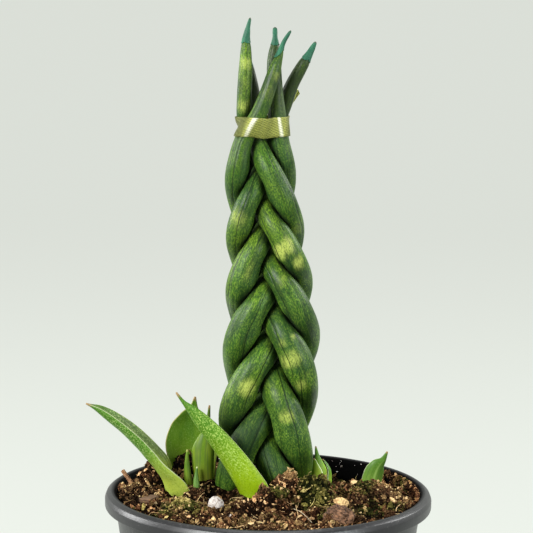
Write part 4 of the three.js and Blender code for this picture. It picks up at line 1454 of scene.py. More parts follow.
# ---- Ribbon ----
@dataclass
class RibbonTie:
    """A satin ribbon wound twice round the leaves and knotted behind, with two loose tails."""

    braid: Braid
    bottom: float = 0.1728
    top: float = 0.1824
    half_width: float = 0.0048
    thickness: float = 0.00026
    clearance: float = 0.00035
    turns: float = 2.04
    layer: float = 0.00045  # how far the outer turn stands off the inner one
    # Painted highlights on the satin, and painted shade where the strength is negative: degrees, slant,
    # width and strength.
    painted_lustres: Table = ((247.0, 10.0, 6.0, 1.25), (317.0, -4.0, 5.0, 1.0), (203.0, 4.0, 30.0, -2.6),
                      (270.0, 4.0, 3.0, 0.3), (288.0, 6.0, 12.0, -0.45), (60.0, -8.0, 8.0, 0.7),
                      (128.0, 8.0, 9.0, 0.6), (345.0, 5.0, 14.0, -0.8))
    knot_at: Point = (0.0015, 0.0214, 0.1776)
    knot_size: Point = (0.0052, 0.003, 0.0049)
    tails: tuple[Table, ...] = (
        ((0.0015, 0.0226, 0.178, 0.003), (0.0058, 0.0215, 0.186, 0.0026), (0.0127, 0.019, 0.1944, 0.0019)),
        ((0.001, 0.023, 0.177, 0.0038), (-0.004, 0.0245, 0.166, 0.0042), (-0.0065, 0.024, 0.152, 0.0042),
         (-0.0085, 0.0246, 0.141, 0.004)),
    )

    def _taut(self, z: float, middle: Array, angles: Array) -> Array:
        """Radius of a string drawn tight round the leaves at a height.

        Args:
            z: Height above the rim.
            middle: Point that the radius is measured from.
            angles: Ways in which it is wanted.

        Returns:
            One radius for each angle.
        """
        near = z + np.arange(-0.003, 0.0031, 0.0005)
        circles = []
        for strand in self.braid.strands:
            full = (strand.radius(near) + self.clearance) ** 2 - (near - z) ** 2
            circles.append(np.column_stack([strand.x(near), strand.y(near), np.sqrt(np.maximum(full, 0))]))
        x, y, radius = np.vstack(circles).T
        ways = np.linspace(0.0, TURN, 361)
        support = np.max((x[:, None] - middle[0]) * np.cos(ways) + (y[:, None] - middle[1]) * np.sin(ways)
                         + radius[:, None], axis=0)
        leans = np.arange(-1.2, 1.21, 0.04)
        reach = np.interp((angles[:, None] + leans) % TURN, ways, support) / np.cos(leans)
        return reach.min(axis=1)

    def make(self) -> None:
        """Builds the winding, the knot and the tails, and joins them."""
        parts = [self._winding(), self._knot(), *(self._tail(k) for k in range(len(self.tails)))]
        only(*parts)
        bpy.ops.object.join()
        ribbon = bpy.context.object
        ribbon.name = ribbon.data.name = "satin_ribbon"
        smooth_shaded(ribbon, 60.0)
        hand_over(ribbon, "satin_ribbon", Satin().make(), "ribbon_tie")

    def _winding(self) -> Piece:
        """Winds a strip round the leaves."""
        bpy.ops.mesh.primitive_grid_add(x_subdivisions=8, y_subdivisions=300, size=2)
        strip = fresh("ribbon_winding")
        across, run, _ = points_of(strip).T
        run = (run + 1) / 2
        turn = run * self.turns
        angle = math.pi / 2 - 0.12 + TURN * turn
        spines = self.braid.strands
        mid = (self.bottom + self.top) / 2
        middle = np.mean([strand.centre(mid)[:2] for strand in spines], axis=0)
        ring = np.linspace(0.0, TURN, 361)
        rows = np.unique(np.round(across, 4))
        table = np.array([self._taut(mid + row * (self.top - mid), middle, ring[:-1]) for row in rows])
        table = np.column_stack([table, table[:, 0]])
        radius = np.empty_like(run)
        for k, row in enumerate(rows):
            on_row = np.abs(across - row) < 1e-3
            radius[on_row] = np.interp(angle[on_row] % TURN, ring, table[k])
        outer = smooth_step(turn, 0.92, 1.08)
        front = np.exp(-(((angle % TURN) - 1.52 * math.pi) / 0.42) ** 2)
        radius = radius + self.layer * outer
        z = mid + across * (self.top - mid) * (0.985 - 0.02 * outer)
        z += 0.0002 * np.sin(angle * 3 + 1.0) * (1 - outer) - 0.001 * front * (1 - outer)
        dent = np.exp(-(((angle % TURN) - 1.56 * math.pi) / 0.22) ** 2)
        z -= 0.0005 * dent * (across > 0) * outer * across
        length = run * self.turns * TURN * float(np.mean(table))
        flat = np.column_stack([length, across * self.half_width, 5.0 * outer])
        radius = radius + 0.00014 * ripple(flat * (1, 0.25, 1), 0.0021, 3.0)
        radius -= 0.00012 * np.abs(across) ** 6
        place_points(strip, np.column_stack([
            middle[0] + radius * np.cos(angle), middle[1] + radius * np.sin(angle), RIM + z]))
        # painted highlights and shade, laid out by angle round the ribbon
        painted_lustre = np.zeros_like(run)
        for degrees, lean, wide, strength in self.painted_lustres:
            off = np.degrees(angle % TURN) - degrees - lean * across
            painted_lustre += strength * np.exp(-((off / wide) ** 2))
        note(strip, "weave", np.column_stack([length, across * (self.top - mid), painted_lustre]))
        apply(strip, "SOLIDIFY", thickness=self.thickness, offset=0.0)
        subdivided(strip)
        return strip

    def _knot(self) -> Piece:
        """A flat half hitch: a pillow with slanting folds."""
        blank = Blank("ribbon_knot", 40, 26)
        rise = np.cos(math.pi * blank.share)[:, None]
        width = np.sin(math.pi * blank.share)[:, None] ** 0.7
        crease = 0.08 * np.exp(-((rise - 0.1) / 0.16) ** 2)
        fold = 1 + 0.1 * np.sin(3 * blank.angle + 7 * blank.share[:, None]) - crease
        sx, sy, sz = self.knot_size
        blank.lay(stacked(self.knot_at[0] + sx * width * fold * np.cos(blank.angle) + 0.0012 * rise,
                          self.knot_at[1] + sy * width * fold * np.sin(blank.angle),
                          RIM + self.knot_at[2] - sz * rise))
        blank.note("weave", stacked(blank.angle * sx, sz * rise, 0.0))
        return blank.finished()

    def _tail(self, number: int) -> Piece:
        """Lays a loose end that curls and is cut on the slant.

        Args:
            number: Which of the tails.

        Returns:
            The strip.
        """
        path = Stations(self.tails[number])
        bpy.ops.mesh.primitive_grid_add(x_subdivisions=6, y_subdivisions=48, size=2)
        strip = fresh("ribbon_tail")
        across, run, _ = points_of(strip).T
        run = (run + 1) / 2
        s = path.length * np.clip(run - 0.05 * run * across, 0.0, 1.0)
        row = path(s)
        along = path.heading(s)
        side, out = section_axes(along)
        curl = 0.0006 * np.sin(run * 9 + number) * across + 0.0005 * np.sin(run * 14 + 2 * number)
        points = row[:, :3] + side * (across * row[:, 3])[:, None] + out * curl[:, None]
        points[:, 2] += RIM
        place_points(strip, points)
        note(strip, "weave", np.column_stack([s, across * row[:, 3], np.zeros_like(s)]))
        apply(strip, "SOLIDIFY", thickness=self.thickness, offset=0.0)
        subdivided(strip)
        return strip


# ---- Pups and buds ----
@dataclass(frozen=True)
class CuppedLeaf:
    """A channelled leaf: its midrib, half width, cup and thickness from foot to tip."""

    node: str
    face: Point  # way the hollow side looks
    stations: Table  # x, y, height, half width along the surface, half angle in degrees, thickness
    skin: PupSkin
    slot: str = "pup_leaf"
    ring_step: float = 0.0013
    foot_face: Point | None = None  # way the hollow side looks at the foot, where the leaf twists
    sides: int = 44

    def make(self) -> Piece:
        """Lays the leaf into its cupped form."""
        path = Stations(self.stations)
        blank = Blank(f"{self.node}_skin", self.sides, round(path.length / self.ring_step))
        s = path.length * blank.share
        row = path(s)
        turned = smooth_step(blank.share, 0.04, 0.36)[:, None]
        look = np.array(self.face) * turned + np.array(self.foot_face or self.face) * (1 - turned)
        inward, across = section_axes(path.heading(s, 0.0003), look)
        half, cup, thick = row[:, 3], np.radians(row[:, 4]), row[:, 5]
        flat, side = np.cos(blank.angle), np.sin(blank.angle)
        wall = thick[:, None] / 2 * np.abs(side) ** 0.75 * np.sign(side)
        lean = flat * cup[:, None]
        straight = stacked(flat * half[:, None], 0.004 * side, s[:, None])
        wave = 0.00022 * ripple(straight, 0.006, len(self.node)) * smooth_step(s, 0.0, 0.01)[:, None]
        reach = (half / cup)[:, None] + wall + wave
        centre = row[:, :3] + (0, 0, RIM) + inward * (half / cup)[:, None]
        blank.lay(centre[:, None] - inward[:, None] * (reach * np.cos(lean))[..., None]
                  + across[:, None] * (reach * np.sin(lean))[..., None])
        blank.note("straight", straight)
        blank.note("blade", stacked(flat, side, blank.share[:, None]))
        leaf = blank.finished()
        hand_over(leaf, self.slot, self.skin.make(self.node), self.node)
        return leaf


@dataclass(frozen=True)
class Spear:
    """A young round leaf that tapers to a needle."""

    node: str
    stations: Table  # x, y, height, radius
    skin: PupSkin
    slot: str = "pup_leaf"
    ring_step: float = 0.0011
    sides: int = 24

    def make(self) -> Piece:
        """Lays the spear along its path."""
        path = Stations(self.stations)
        blank = Blank(f"{self.node}_skin", self.sides, round(path.length / self.ring_step))
        s = path.length * blank.share
        row = path(s)
        cos, sin = np.cos(blank.angle), np.sin(blank.angle)
        reach = row[:, 3:4] * (1 + 0.06 * np.cos(3 * blank.angle + 0.5))
        blank.lay(row[:, None, :3] + (0, 0, RIM) + blank.rays(path.heading(s)) * reach[..., None])
        blank.note("straight", stacked(reach * cos, reach * sin, s[:, None]))
        blank.note("blade", stacked(0.5 * cos, 1.0, blank.share[:, None]))
        leaf = blank.finished()
        hand_over(leaf, self.slot, self.skin.make(self.node), self.node)
        return leaf


BUD = PupSkin(back=(0.12, 0.29, 0.018), hollow=(0.16, 0.34, 0.04), foot=(0.34, 0.5, 0.05),
              margin=(0.72, 0.76, 0.55), flecks=0.04, foot_top=0.7, margin_width=0.07)
PUPS = (
    CuppedLeaf("left_pup_leaf", (0.65, -0.08, 0.76), (
        (-0.0455, -0.0025, -0.01, 0.0096, 62.0, 0.0032), (-0.0472, -0.0028, -0.0024, 0.0104, 62.0, 0.0033),
        (-0.0511, -0.003, 0.006, 0.0107, 68.0, 0.0031), (-0.0581, -0.0033, 0.0156, 0.0096, 74.0, 0.0028),
        (-0.0679, -0.004, 0.0262, 0.0084, 78.0, 0.0025), (-0.078, -0.005, 0.0353, 0.006, 80.0, 0.0022),
        (-0.0835, -0.0054, 0.0398, 0.0033, 80.0, 0.0018), (-0.0866, -0.0056, 0.0417, 0.0013, 60.0, 0.0013),
        (-0.089, -0.0056, 0.0428, 0.0005, 30.0, 0.0008)),
        PupSkin(back=(0.056, 0.172, 0.006), hollow=(0.14, 0.19, 0.06), foot=(0.38, 0.47, 0.06),
                margin=(0.43, 0.48, 0.26), flecks=0.85, foot_top=0.46), foot_face=(0.5, 0.65, 0.6)),
    CuppedLeaf("front_pup_leaf", (0.35, 0.8, 0.45), (
        (-0.005, -0.0176, -0.01, 0.008, 50.0, 0.003), (-0.008, -0.018, 0.001, 0.0098, 52.0, 0.0031),
        (-0.0122, -0.0186, 0.0084, 0.0094, 54.0, 0.003), (-0.02, -0.0176, 0.0199, 0.0082, 56.0, 0.0027),
        (-0.028, -0.0164, 0.0301, 0.0067, 58.0, 0.0024), (-0.0334, -0.0154, 0.0363, 0.0054, 58.0, 0.0022),
        (-0.0381, -0.0144, 0.0421, 0.003, 55.0, 0.0018), (-0.0415, -0.0137, 0.0459, 0.0011, 45.0, 0.0013),
        (-0.0448, -0.013, 0.0503, 0.0005, 30.0, 0.0008)),
        PupSkin(back=(0.068, 0.198, 0.004), foot=(0.235, 0.365, 0.003), fleck=(0.42, 0.57, 0.13),
                flecks=1.0, foot_top=0.66)),
    CuppedLeaf("broad_pup_leaf", (0.2, -0.95, 0.15), (
        (-0.0345, 0.0145, -0.01, 0.006, 50.0, 0.0026), (-0.0359, 0.015, 0.0034, 0.01, 42.0, 0.0026),
        (-0.038, 0.016, 0.0114, 0.0134, 38.0, 0.0024), (-0.0391, 0.017, 0.0193, 0.0144, 38.0, 0.0022),
        (-0.0391, 0.0173, 0.0272, 0.012, 38.0, 0.002), (-0.0384, 0.017, 0.0332, 0.0066, 38.0, 0.0018),
        (-0.0374, 0.0166, 0.0374, 0.002, 38.0, 0.0015), (-0.0368, 0.0162, 0.0423, 0.0005, 30.0, 0.0008)),
        PupSkin(hollow=(0.106, 0.216, 0.009), flecks=0.25, foot_top=0.55, foot=(0.24, 0.33, 0.02),
                margin=(0.36, 0.3, 0.12), veins=0.08)),
    CuppedLeaf("yellow_pup_leaf", (-0.1, 0.95, 0.25), (
        (-0.0318, 0.002, -0.01, 0.0044, 50.0, 0.0024), (-0.0316, 0.0005, 0.0027, 0.0048, 50.0, 0.0024),
        (-0.032, 0.0, 0.0096, 0.0058, 52.0, 0.0022), (-0.032, 0.0005, 0.0175, 0.0062, 52.0, 0.002),
        (-0.0313, 0.0011, 0.0235, 0.0044, 52.0, 0.0018), (-0.0305, 0.0017, 0.0285, 0.002, 50.0, 0.0015),
        (-0.0297, 0.0021, 0.0336, 0.0011, 40.0, 0.0012), (-0.0292, 0.0025, 0.0409, 0.0004, 30.0, 0.0007)),
        PupSkin(back=(0.15, 0.225, 0.01), foot=(0.2, 0.2, 0.02), margin=(0.34, 0.38, 0.14), flecks=0.06,
                foot_top=0.4, ribs=0.45)),
    CuppedLeaf("centre_bud_front_scale", (0.5, 0.86, 0.05), (
        (0.0239, 0.0124, -0.008, 0.004, 66.0, 0.0014), (0.0238, 0.012, -0.001, 0.0042, 66.0, 0.0014),
        (0.0236, 0.0122, 0.0045, 0.0037, 66.0, 0.0013), (0.023, 0.0127, 0.009, 0.0019, 52.0, 0.0011),
        (0.0226, 0.0133, 0.0122, 0.0005, 30.0, 0.0007)),
        PupSkin(back=(0.46, 0.66, 0.03), foot=(0.64, 0.8, 0.12), margin=(0.84, 0.88, 0.6), flecks=0.02,
                foot_top=0.8, margin_width=0.2), "bud_leaf", 0.0008),
    CuppedLeaf("centre_bud_back_scale", (-0.92, -0.38, 0.05), (
        (0.0302, 0.0189, -0.008, 0.0046, 70.0, 0.0014), (0.0308, 0.019, -0.001, 0.0056, 74.0, 0.0014),
        (0.0306, 0.0187, 0.0045, 0.005, 72.0, 0.0012), (0.0288, 0.0182, 0.0086, 0.0026, 55.0, 0.001),
        (0.027, 0.0176, 0.0108, 0.0005, 30.0, 0.0007)), BUD, "bud_leaf", 0.0008),
    CuppedLeaf("right_bud_scale", (-0.15, 0.95, 0.2), (
        (0.0512, 0.0131, -0.009, 0.005, 50.0, 0.0016), (0.052, 0.0125, 0.001, 0.0058, 50.0, 0.0016),
        (0.0532, 0.012, 0.0058, 0.0055, 50.0, 0.0015), (0.0546, 0.0118, 0.009, 0.0043, 50.0, 0.0013),
        (0.057, 0.012, 0.012, 0.0019, 46.0, 0.0011), (0.059, 0.0124, 0.0163, 0.0004, 30.0, 0.0007)),
        PupSkin(back=(0.105, 0.2, 0.025), foot=(0.17, 0.29, 0.04), keel=(0.3, 0.44, 0.11),
                margin=(0.52, 0.6, 0.36), flecks=0.12, foot_top=0.5, keel_share=0.5, margin_width=0.08,
                ribs=0.3), "bud_leaf", 0.0008),
    Spear("left_pup_spear", (
        (-0.0387, -0.0004, -0.01, 0.002), (-0.039, -0.0006, 0.0, 0.0021), (-0.0398, -0.0009, 0.008, 0.0017),
        (-0.04, -0.001, 0.014, 0.0011), (-0.0399, -0.001, 0.0194, 0.0004)),
        PupSkin(back=(0.23, 0.33, 0.022), foot=(0.34, 0.42, 0.04), tip=(0.42, 0.42, 0.12), flecks=0.1,
                foot_top=0.6, ribs=0.35)),
    Spear("small_pup_spear", (
        (-0.0346, -0.006, -0.009, 0.0017), (-0.0349, -0.0058, 0.0, 0.0017),
        (-0.0353, -0.005, 0.005, 0.0014), (-0.0352, -0.0044, 0.0082, 0.0009),
        (-0.0349, -0.004, 0.0116, 0.0004)),
        PupSkin(back=(0.15, 0.27, 0.05), foot=(0.5, 0.55, 0.25), tip=(0.5, 0.52, 0.26), flecks=0.05,
                ribs=0.3)),
    Spear("centre_bud_heart", (
        (0.0262, 0.0166, -0.008, 0.003), (0.0264, 0.0164, -0.002, 0.0034), (0.0262, 0.0162, 0.004, 0.0033),
        (0.025, 0.016, 0.009, 0.0023), (0.0242, 0.016, 0.0125, 0.0013), (0.0234, 0.016, 0.0178, 0.0004)),
        PupSkin(back=(0.2, 0.42, 0.02), foot=(0.4, 0.58, 0.05), flecks=0.03, foot_top=0.7), "bud_leaf"),
    Spear("right_bud_heart", (
        (0.0524, 0.0181, -0.009, 0.0026), (0.0526, 0.0179, -0.002, 0.0028), (0.0534, 0.0173, 0.003, 0.0024),
        (0.054, 0.0166, 0.0066, 0.0014), (0.0546, 0.016, 0.009, 0.0007), (0.0552, 0.0156, 0.0106, 0.0003)),
        BUD, "bud_leaf"),
)


# ---- Potting mix ----
@dataclass(frozen=True)
class Mound:
    """A rise of the mix, or a dip where the height is negative."""

    x: float
    y: float
    spread: float
    height: float
    moss: float = 0.2  # how mossy it is, from 0 to 1
    crag: bool = False  # a steep clod that stands on the soft mounds
    # negative values paint shade into pits and shaded heaps
    light: float = 0.0  # how much paler it is, or darker where negative

    def share(self, x: Floats, y: Floats) -> Floats:
        """1 at the middle of the mound and 0 well away from it."""
        off = ((x - self.x) ** 2 + (y - self.y) ** 2) / (2 * self.spread**2)
        return np.exp(-(off ** (1.8 if self.crag else 1.0)))


MOUNDS = (
    Mound(-0.002, 0.002, 0.026, 0.0055),  # round the braid
    Mound(0.048, 0.046, 0.028, -0.009),  # sunk behind on the right
    Mound(-0.054, 0.0165, 0.008, 0.009, 0.1, True),  # heap behind the left pup
    # clod behind the left pup, darkened with painted shade
    Mound(-0.042, 0.0085, 0.0052, 0.015, 0.0, True, -0.2),
    Mound(-0.031, 0.0, 0.006, 0.005, 0.0),
    Mound(-0.062, -0.006, 0.014, 0.0052, 0.05, False, 0.1),
    Mound(-0.043, -0.048, 0.015, 0.0026, 0.3, False, 0.06),
    Mound(0.0085, -0.012, 0.0055, 0.0098, 0.0, True, 0.28),  # clods in front of the braid
    Mound(0.02, -0.0125, 0.007, 0.01, 1.0, True),
    Mound(0.021, -0.0225, 0.006, 0.0, 1.0, True),
    Mound(-0.0005, -0.028, 0.0046, 0.009, 0.4, True, 0.16),
    Mound(-0.0125, -0.033, 0.0046, 0.004, 0.0, True, 0.08),
    Mound(-0.0365, -0.0155, 0.0042, 0.0046, 0.0, True, 0.06),
    Mound(-0.04, -0.035, 0.006, 0.0035, 0.8, True, 0.26),
    Mound(-0.045, -0.0085, 0.0058, -0.004, 0.0),  # hollow at the left pup's foot
    # darkened with painted shade
    Mound(-0.0262, -0.016, 0.005, -0.0045, 0.0, False, -0.15),  # pit behind the perlite
    Mound(0.049, 0.001, 0.0105, 0.01, 0.55, False, 0.12),
    Mound(0.0345, -0.029, 0.005, 0.003, 0.2),
    Mound(0.018, -0.042, 0.007, -0.003, 0.2),
    Mound(0.064, -0.006, 0.007, 0.0012, 0.0, False, 0.22),
    Mound(0.0, -0.06, 0.024, 0.0, 0.1, False, 0.14),  # paler along the front
)


@dataclass
class Ground:
    """The bed of mix: heaped at the braid, sunk behind on the right, rough all over."""

    pot: NurseryPot
    edge: float = -0.0045
    skirt: float = 0.014  # how far below the rim the bed meets the wall
    gap: float = 0.0006  # how far it presses into the wall there and stands off it below
    mounds: tuple[Mound, ...] = MOUNDS
    relief: tuple[tuple[str, float, float], ...] = (  # texture, size of its features, depth
        ("CLOUDS", 0.009, 0.004), ("CLOUDS", 0.0032, 0.0034),
        ("VORONOI", 0.0021, 0.0015), ("CLOUDS", 0.0012, 0.0016))
    cells: int = 260
    bed: Piece = field(init=False)

    def height(self, x: Floats, y: Floats) -> Floats:
        """Height of the mix above the rim."""
        soft = sum(mound.height * mound.share(x, y) for mound in self.mounds if not mound.crag)
        crags = [mound.height * mound.share(x, y) for mound in self.mounds if mound.crag]
        return self.edge + soft + np.max(crags, axis=0)

    def moss(self, x: float, y: float) -> float:
        """How mossy the mix is at a place, from 0 to 1."""
        shares = [(max(mound.share(x, y), 1e-6), mound.moss) for mound in self.mounds]
        mean = sum(share**2 * moss for share, moss in shares) / sum(share**2 for share, _ in shares)
        strong = max(share for share, _ in shares) ** 0.5
        spots = 0.25 + 0.8 * noise.noise(Vector((x, y, 0.3)) / 0.011)
        return mean * strong + spots * (1 - 0.7 * strong)

    def light(self, x: Floats, y: Floats) -> Floats:
        """How much paler the mix is at a place; negative where painted shade darkens it."""
        return sum(mound.light * mound.share(x, y) for mound in self.mounds)

    def make(self) -> None:
        """Models the bed from a round grid, drawn down to the pot's floor."""
        edge = self.pot.wall_radius(RIM - self.skirt) + self.gap
        bpy.ops.mesh.primitive_grid_add(x_subdivisions=self.cells, y_subdivisions=self.cells, size=2)
        self.bed = fresh("potting_mix_bed")
        u, v, _ = points_of(self.bed).T
        x, y = edge * u * np.sqrt(1 - v * v / 2), edge * v * np.sqrt(1 - u * u / 2)
        place_points(self.bed, np.column_stack([x, y, RIM + self.height(x, y)]))
        for texture, size, depth in self.relief:
            roughened(self.bed, texture, size, depth, direction="Z")
        x, y, z = points_of(self.bed).T
        relief = z - RIM - self.height(x, y)
        pick(self.bed, "EDGE", lambda rim: rim.is_boundary)
        self._draw_down(edge, RIM - self.skirt)
        self._draw_down(self.pot.wall_radius(0.05) - self.gap, 0.05)
        self._draw_down(self.pot.wall_radius(0.006) - self.gap, 0.006)
        self._draw_down(self.pot.foot - 0.004, 0.0021)
        bpy.ops.mesh.edge_face_add()
        bpy.ops.mesh.select_all(action="SELECT")
        bpy.ops.mesh.normals_make_consistent(inside=False)
        leave_edit()
        points = points_of(self.bed)
        # painted shade: the low parts of the relief are painted near black and the high ones paler, and the
        # mounds' light adds to it; the sides drawn down the wall keep the darkest value
        shade, moss = np.full(len(points), 0.02), np.full(len(points), 0.2)
        top = slice(len(relief))
        shade[top] = 0.02 + 0.46 * smooth_step(relief, -0.0012, 0.0026) + 0.7 * self.light(x, y)
        moss[top] = [self.moss(*place) for place in points[top, :2]]
        note(self.bed, "tint", stacked(shade, moss, 0.3))
        hand_over(self.bed, "potting_mix", Peat("peat_bed").make(), "potting_mix")

    def _draw_down(self, radius: float, height: float) -> None:
        """Extrudes the selected edge loop to a level circle.

        Args:
            radius: Radius of the circle.
            height: Its height.
        """
        bpy.ops.mesh.extrude_region_move()
        cage = bmesh.from_edit_mesh(self.bed.data)
        loop = [vert for vert in cage.verts if vert.select]
        now = loop[0].co.to_2d().length
        factor = radius / now
        bpy.ops.transform.resize(value=(factor, factor, 0.0), center_override=(0, 0, height))


class Seats:
    """Places on the faces of some pieces, chosen evenly over their area."""

    def __init__(self, pieces: Sequence[Piece], lowest: float, least_rise: float) -> None:
        """Lists the faces that can be sat on.

        Args:
            pieces: The pieces.
            lowest: Height below which no face is taken.
            least_rise: Least upward part of a face's normal.
        """
        corners = []
        for piece in pieces:
            piece.data.calc_loop_triangles()
            triangles = np.empty(3 * len(piece.data.loop_triangles), int)
            piece.data.loop_triangles.foreach_get("vertices", triangles)
            corners.append(points_of(piece)[triangles].reshape(-1, 3, 3))
        faces = np.concatenate(corners)
        cross = np.cross(faces[:, 1] - faces[:, 0], faces[:, 2] - faces[:, 0])
        normals = unit(cross)
        # in an order of their own, as extruded faces are listed in another order each time
        faces = np.take_along_axis(faces, np.lexsort(faces.transpose(2, 0, 1))[:, :, None], axis=1)
        order = np.lexsort(faces.reshape(-1, 9).T)
        faces, normals, cross = faces[order], normals[order], cross[order]
        kept = (faces[:, :, 2].min(axis=1) > lowest) & (normals[:, 2] > least_rise)
        self.faces, self.normals = faces[kept], normals[kept]
        self.area = np.cumsum(np.linalg.norm(cross[kept], axis=1))

    def seat(self, draw: random.Random) -> Pair:
        """A random place and the way out of the face there."""
        index = int(np.searchsorted(self.area, draw.random() * self.area[-1]))
        a, b, c = self.faces[index]
        p, q = draw.random(), draw.random()
        if p + q > 1:
            p, q = 1 - p, 1 - q
        return a + (b - a) * p + (c - a) * q, self.normals[index]


@dataclass(frozen=True)
class WallSeats:
    """Places on the pot's inner wall where splashed mix has stuck."""

    pot: NurseryPot
    arc: tuple[float, float]  # degrees about the vertical
    depth: float  # how far down they reach

    def seat(self, draw: random.Random) -> Pair:
        """A random place and the way to the pot's middle from it."""
        angle = math.radians(self.arc[0] + (self.arc[1] - self.arc[0]) * draw.random())
        z = RIM - 0.0009 - self.depth * draw.random() ** 1.3
        out = np.array((math.cos(angle), math.sin(angle), 0.0))
        return out * self.pot.wall_radius(z) + (0, 0, z), -out


class Grain(Enum):
    """Shapes of the loose grains."""

    GRIT = "grit"
    CRUMB = "crumb"
    CLOD = "clod"
    FLAKE = "flake"
    FIBRE = "fibre"


@dataclass(frozen=True)
class Strewing:
    """Loose grains of one shape, strewn over the mix."""

    name: str
    grain: Grain
    count: int
    size: tuple[float, float]  # smallest and largest half size
    tint: tuple[float, float]
    sink: float  # share of the half size that it is sunk by
    seed: int
    bright: float = 1.6  # above 1 makes pale grains rare
    # painted light and shade: grains that lie high are paler, those that lie low darker
    painted_height_light: float = 0.32  # how much paler those that lie high are
    kinds: int = 6
    rare: float = 2.4  # above 1 makes large grains rare
    stand: float = 0.55  # share of the half size that a grain stands up by, before it is sunk

    def make(self, ground: Ground, seats: Seats | WallSeats, keep_out: BVHTree,
             material: Finish) -> Piece:
        """Strews the grains and joins them in one piece.

        Args:
            ground: The bed that they lie on.
            seats: Places that they can take.
            keep_out: Stalks that the grains stay out of.
            material: Their finish.

        Returns:
            The piece.
        """
        draw = random.Random(self.seed)
        seeds = [self._model(kind) for kind in range(self.kinds)]
        points, faces, tints = [], [], []
        total = 0
        while len(points) < self.count:
            spot, normal = seats.seat(draw)
            size = self.size[0] + (self.size[1] - self.size[0]) * draw.random() ** self.rare
            place = spot + normal * size * (self.stand - self.sink)
            if not self._is_free(place, size, ground.pot, keep_out):
                continue
            turn = self._turn(normal, draw)
            stretch = np.array([1.0, 0.65 + 0.4 * draw.random(), 0.6 + 0.4 * draw.random()])
            verts, rows = seeds[draw.randrange(self.kinds)]
            points.append((verts * stretch * size) @ np.array(turn).T + place)
            faces.extend([[corner + total for corner in row] for row in rows])
            total += len(verts)
            tints.append(np.tile(self._tint(place, ground, draw), (len(verts), 1)))
        mesh = bpy.data.meshes.new(self.name)
        mesh.from_pydata(np.vstack(points).tolist(), [], faces)
        piece = bpy.data.objects.new(self.name, mesh)
        bpy.context.scene.collection.objects.link(piece)
        note(piece, "tint", np.concatenate(tints))
        smooth_shaded(piece, 40.0)
        hand_over(piece, "potting_mix", material)
        return piece

    def _is_free(self, place: Array, size: float, pot: NurseryPot, keep_out: BVHTree) -> bool:
        """Tells whether a grain clears the pot's wall and the stalks.

        Args:
            place: Middle of the grain.
            size: Its half size.
            pot: The pot.
            keep_out: The stalks.

        Returns:
            True where it clears them.
        """
        if math.hypot(place[0], place[1]) + 0.5 * size > pot.wall_radius(min(place[2], RIM)) + 0.0002:
            return False
        skin, out, _, far = keep_out.find_nearest(Vector(place), 0.02)
        return skin is None or ((Vector(place) - skin).dot(out) >= 0 and far >= 0.5 * size)

    def _turn(self, normal: Array, draw: random.Random) -> Matrix:
        """Turns a grain at random; flakes and fibres lie along their face.

        Args:
            normal: Way out of the face it sits on.
            draw: Source of random numbers.

        Returns:
            The turn.
        """
        flat = self.grain in (Grain.FLAKE, Grain.FIBRE)
        tilt = 0.6 if flat else math.pi
        turn = (Matrix.Rotation(TURN * draw.random(), 3, "Z")
                @ Matrix.Rotation(tilt * (draw.random() - 0.5) * 2, 3, "X")
                @ Matrix.Rotation(tilt * (draw.random() - 0.5) * 2, 3, "Y"))
        if flat:
            turn = Vector((0, 0, 1)).rotation_difference(Vector(normal)).to_matrix() @ turn
        return turn

    def _tint(self, place: Array, ground: Ground, draw: random.Random) -> Point:
        """Draws a grain's colours.

        Args:
            place: Middle of the grain.
            ground: The bed under it.
            draw: Source of random numbers.

        Returns:
            Its lightness, moss and redness.
        """
        x, y, z = place
        dark, pale = self.tint
        patch = 0.5 + 0.6 * noise.noise(Vector(place) / 0.009)
        shade = dark + (pale - dark) * (0.3 * patch + 0.7 * draw.random() ** self.bright)
        # painted light and shade by how high the grain lies on the bed
        high = smooth_step(z - RIM - ground.height(x, y), -0.0016, 0.003)
        shade += float(ground.light(x, y) + self.painted_height_light * (high - 0.45))
        moss = ground.moss(x, y) + 0.5 * (draw.random() - 0.5)
        red = min(1.0, max(0.0, 1.5 * noise.noise(Vector(place) / 0.013) + 1.3 * draw.random() - 0.35))
        return shade * (1 - 0.12 * moss), moss, red

    def _model(self, kind: int) -> Model:
        """Models one grain of half size one.

        Args:
            kind: Number of the variant, which seeds its roughness.

        Returns:
            Its points and faces.
        """
        if self.grain is Grain.FIBRE:
            return self._fibre(kind)
        if self.grain is Grain.CRUMB:
            bpy.ops.mesh.primitive_cube_add(size=1.3)
            made = fresh("seed")
            pick(made, "FACE", lambda face: True)
            bpy.ops.mesh.subdivide(number_cuts=1, smoothness=0.25)
        else:
            levels = 2 if self.grain is Grain.CLOD else 1
            bpy.ops.mesh.primitive_ico_sphere_add(subdivisions=levels, radius=1.0)
            made = fresh("seed")
            pick(made, "FACE", lambda face: True)
        bpy.ops.transform.vertex_random(offset=0.52, seed=kind + 10 * self.seed)
        if self.grain is Grain.FLAKE:
            bpy.ops.transform.resize(value=(1.2, 0.8, 0.28), center_override=(0, 0, 0))
        leave_edit()
        return self._taken(made)

    def _fibre(self, kind: int) -> Model:
        """A thin curved root fibre of half length one."""
        blank = Blank("seed", 4, 9)
        t = 2 * blank.share - 1
        bend = 0.35 + 0.25 * math.sin(kind * 2.3)
        x, y = t, bend * (t * t - 0.5) + 0.12 * np.sin(4 * t + kind)
        z = 0.1 * np.cos(3 * t + 2 * kind)
        thick = 0.035 * (1.2 - 0.6 * np.abs(t))
        cos, sin = np.cos(blank.angle), np.sin(blank.angle)
        blank.lay(stacked(x[:, None], y[:, None] + thick[:, None] * cos, z[:, None] + thick[:, None] * sin))
        return self._taken(blank.obj)

    def _taken(self, made: Piece) -> Model:
        """Points and faces of a modelled grain, which is then thrown away."""
        points = points_of(made).copy()
        faces = [list(face.vertices) for face in made.data.polygons]
        only(made)
        bpy.ops.object.delete()
        return points, faces


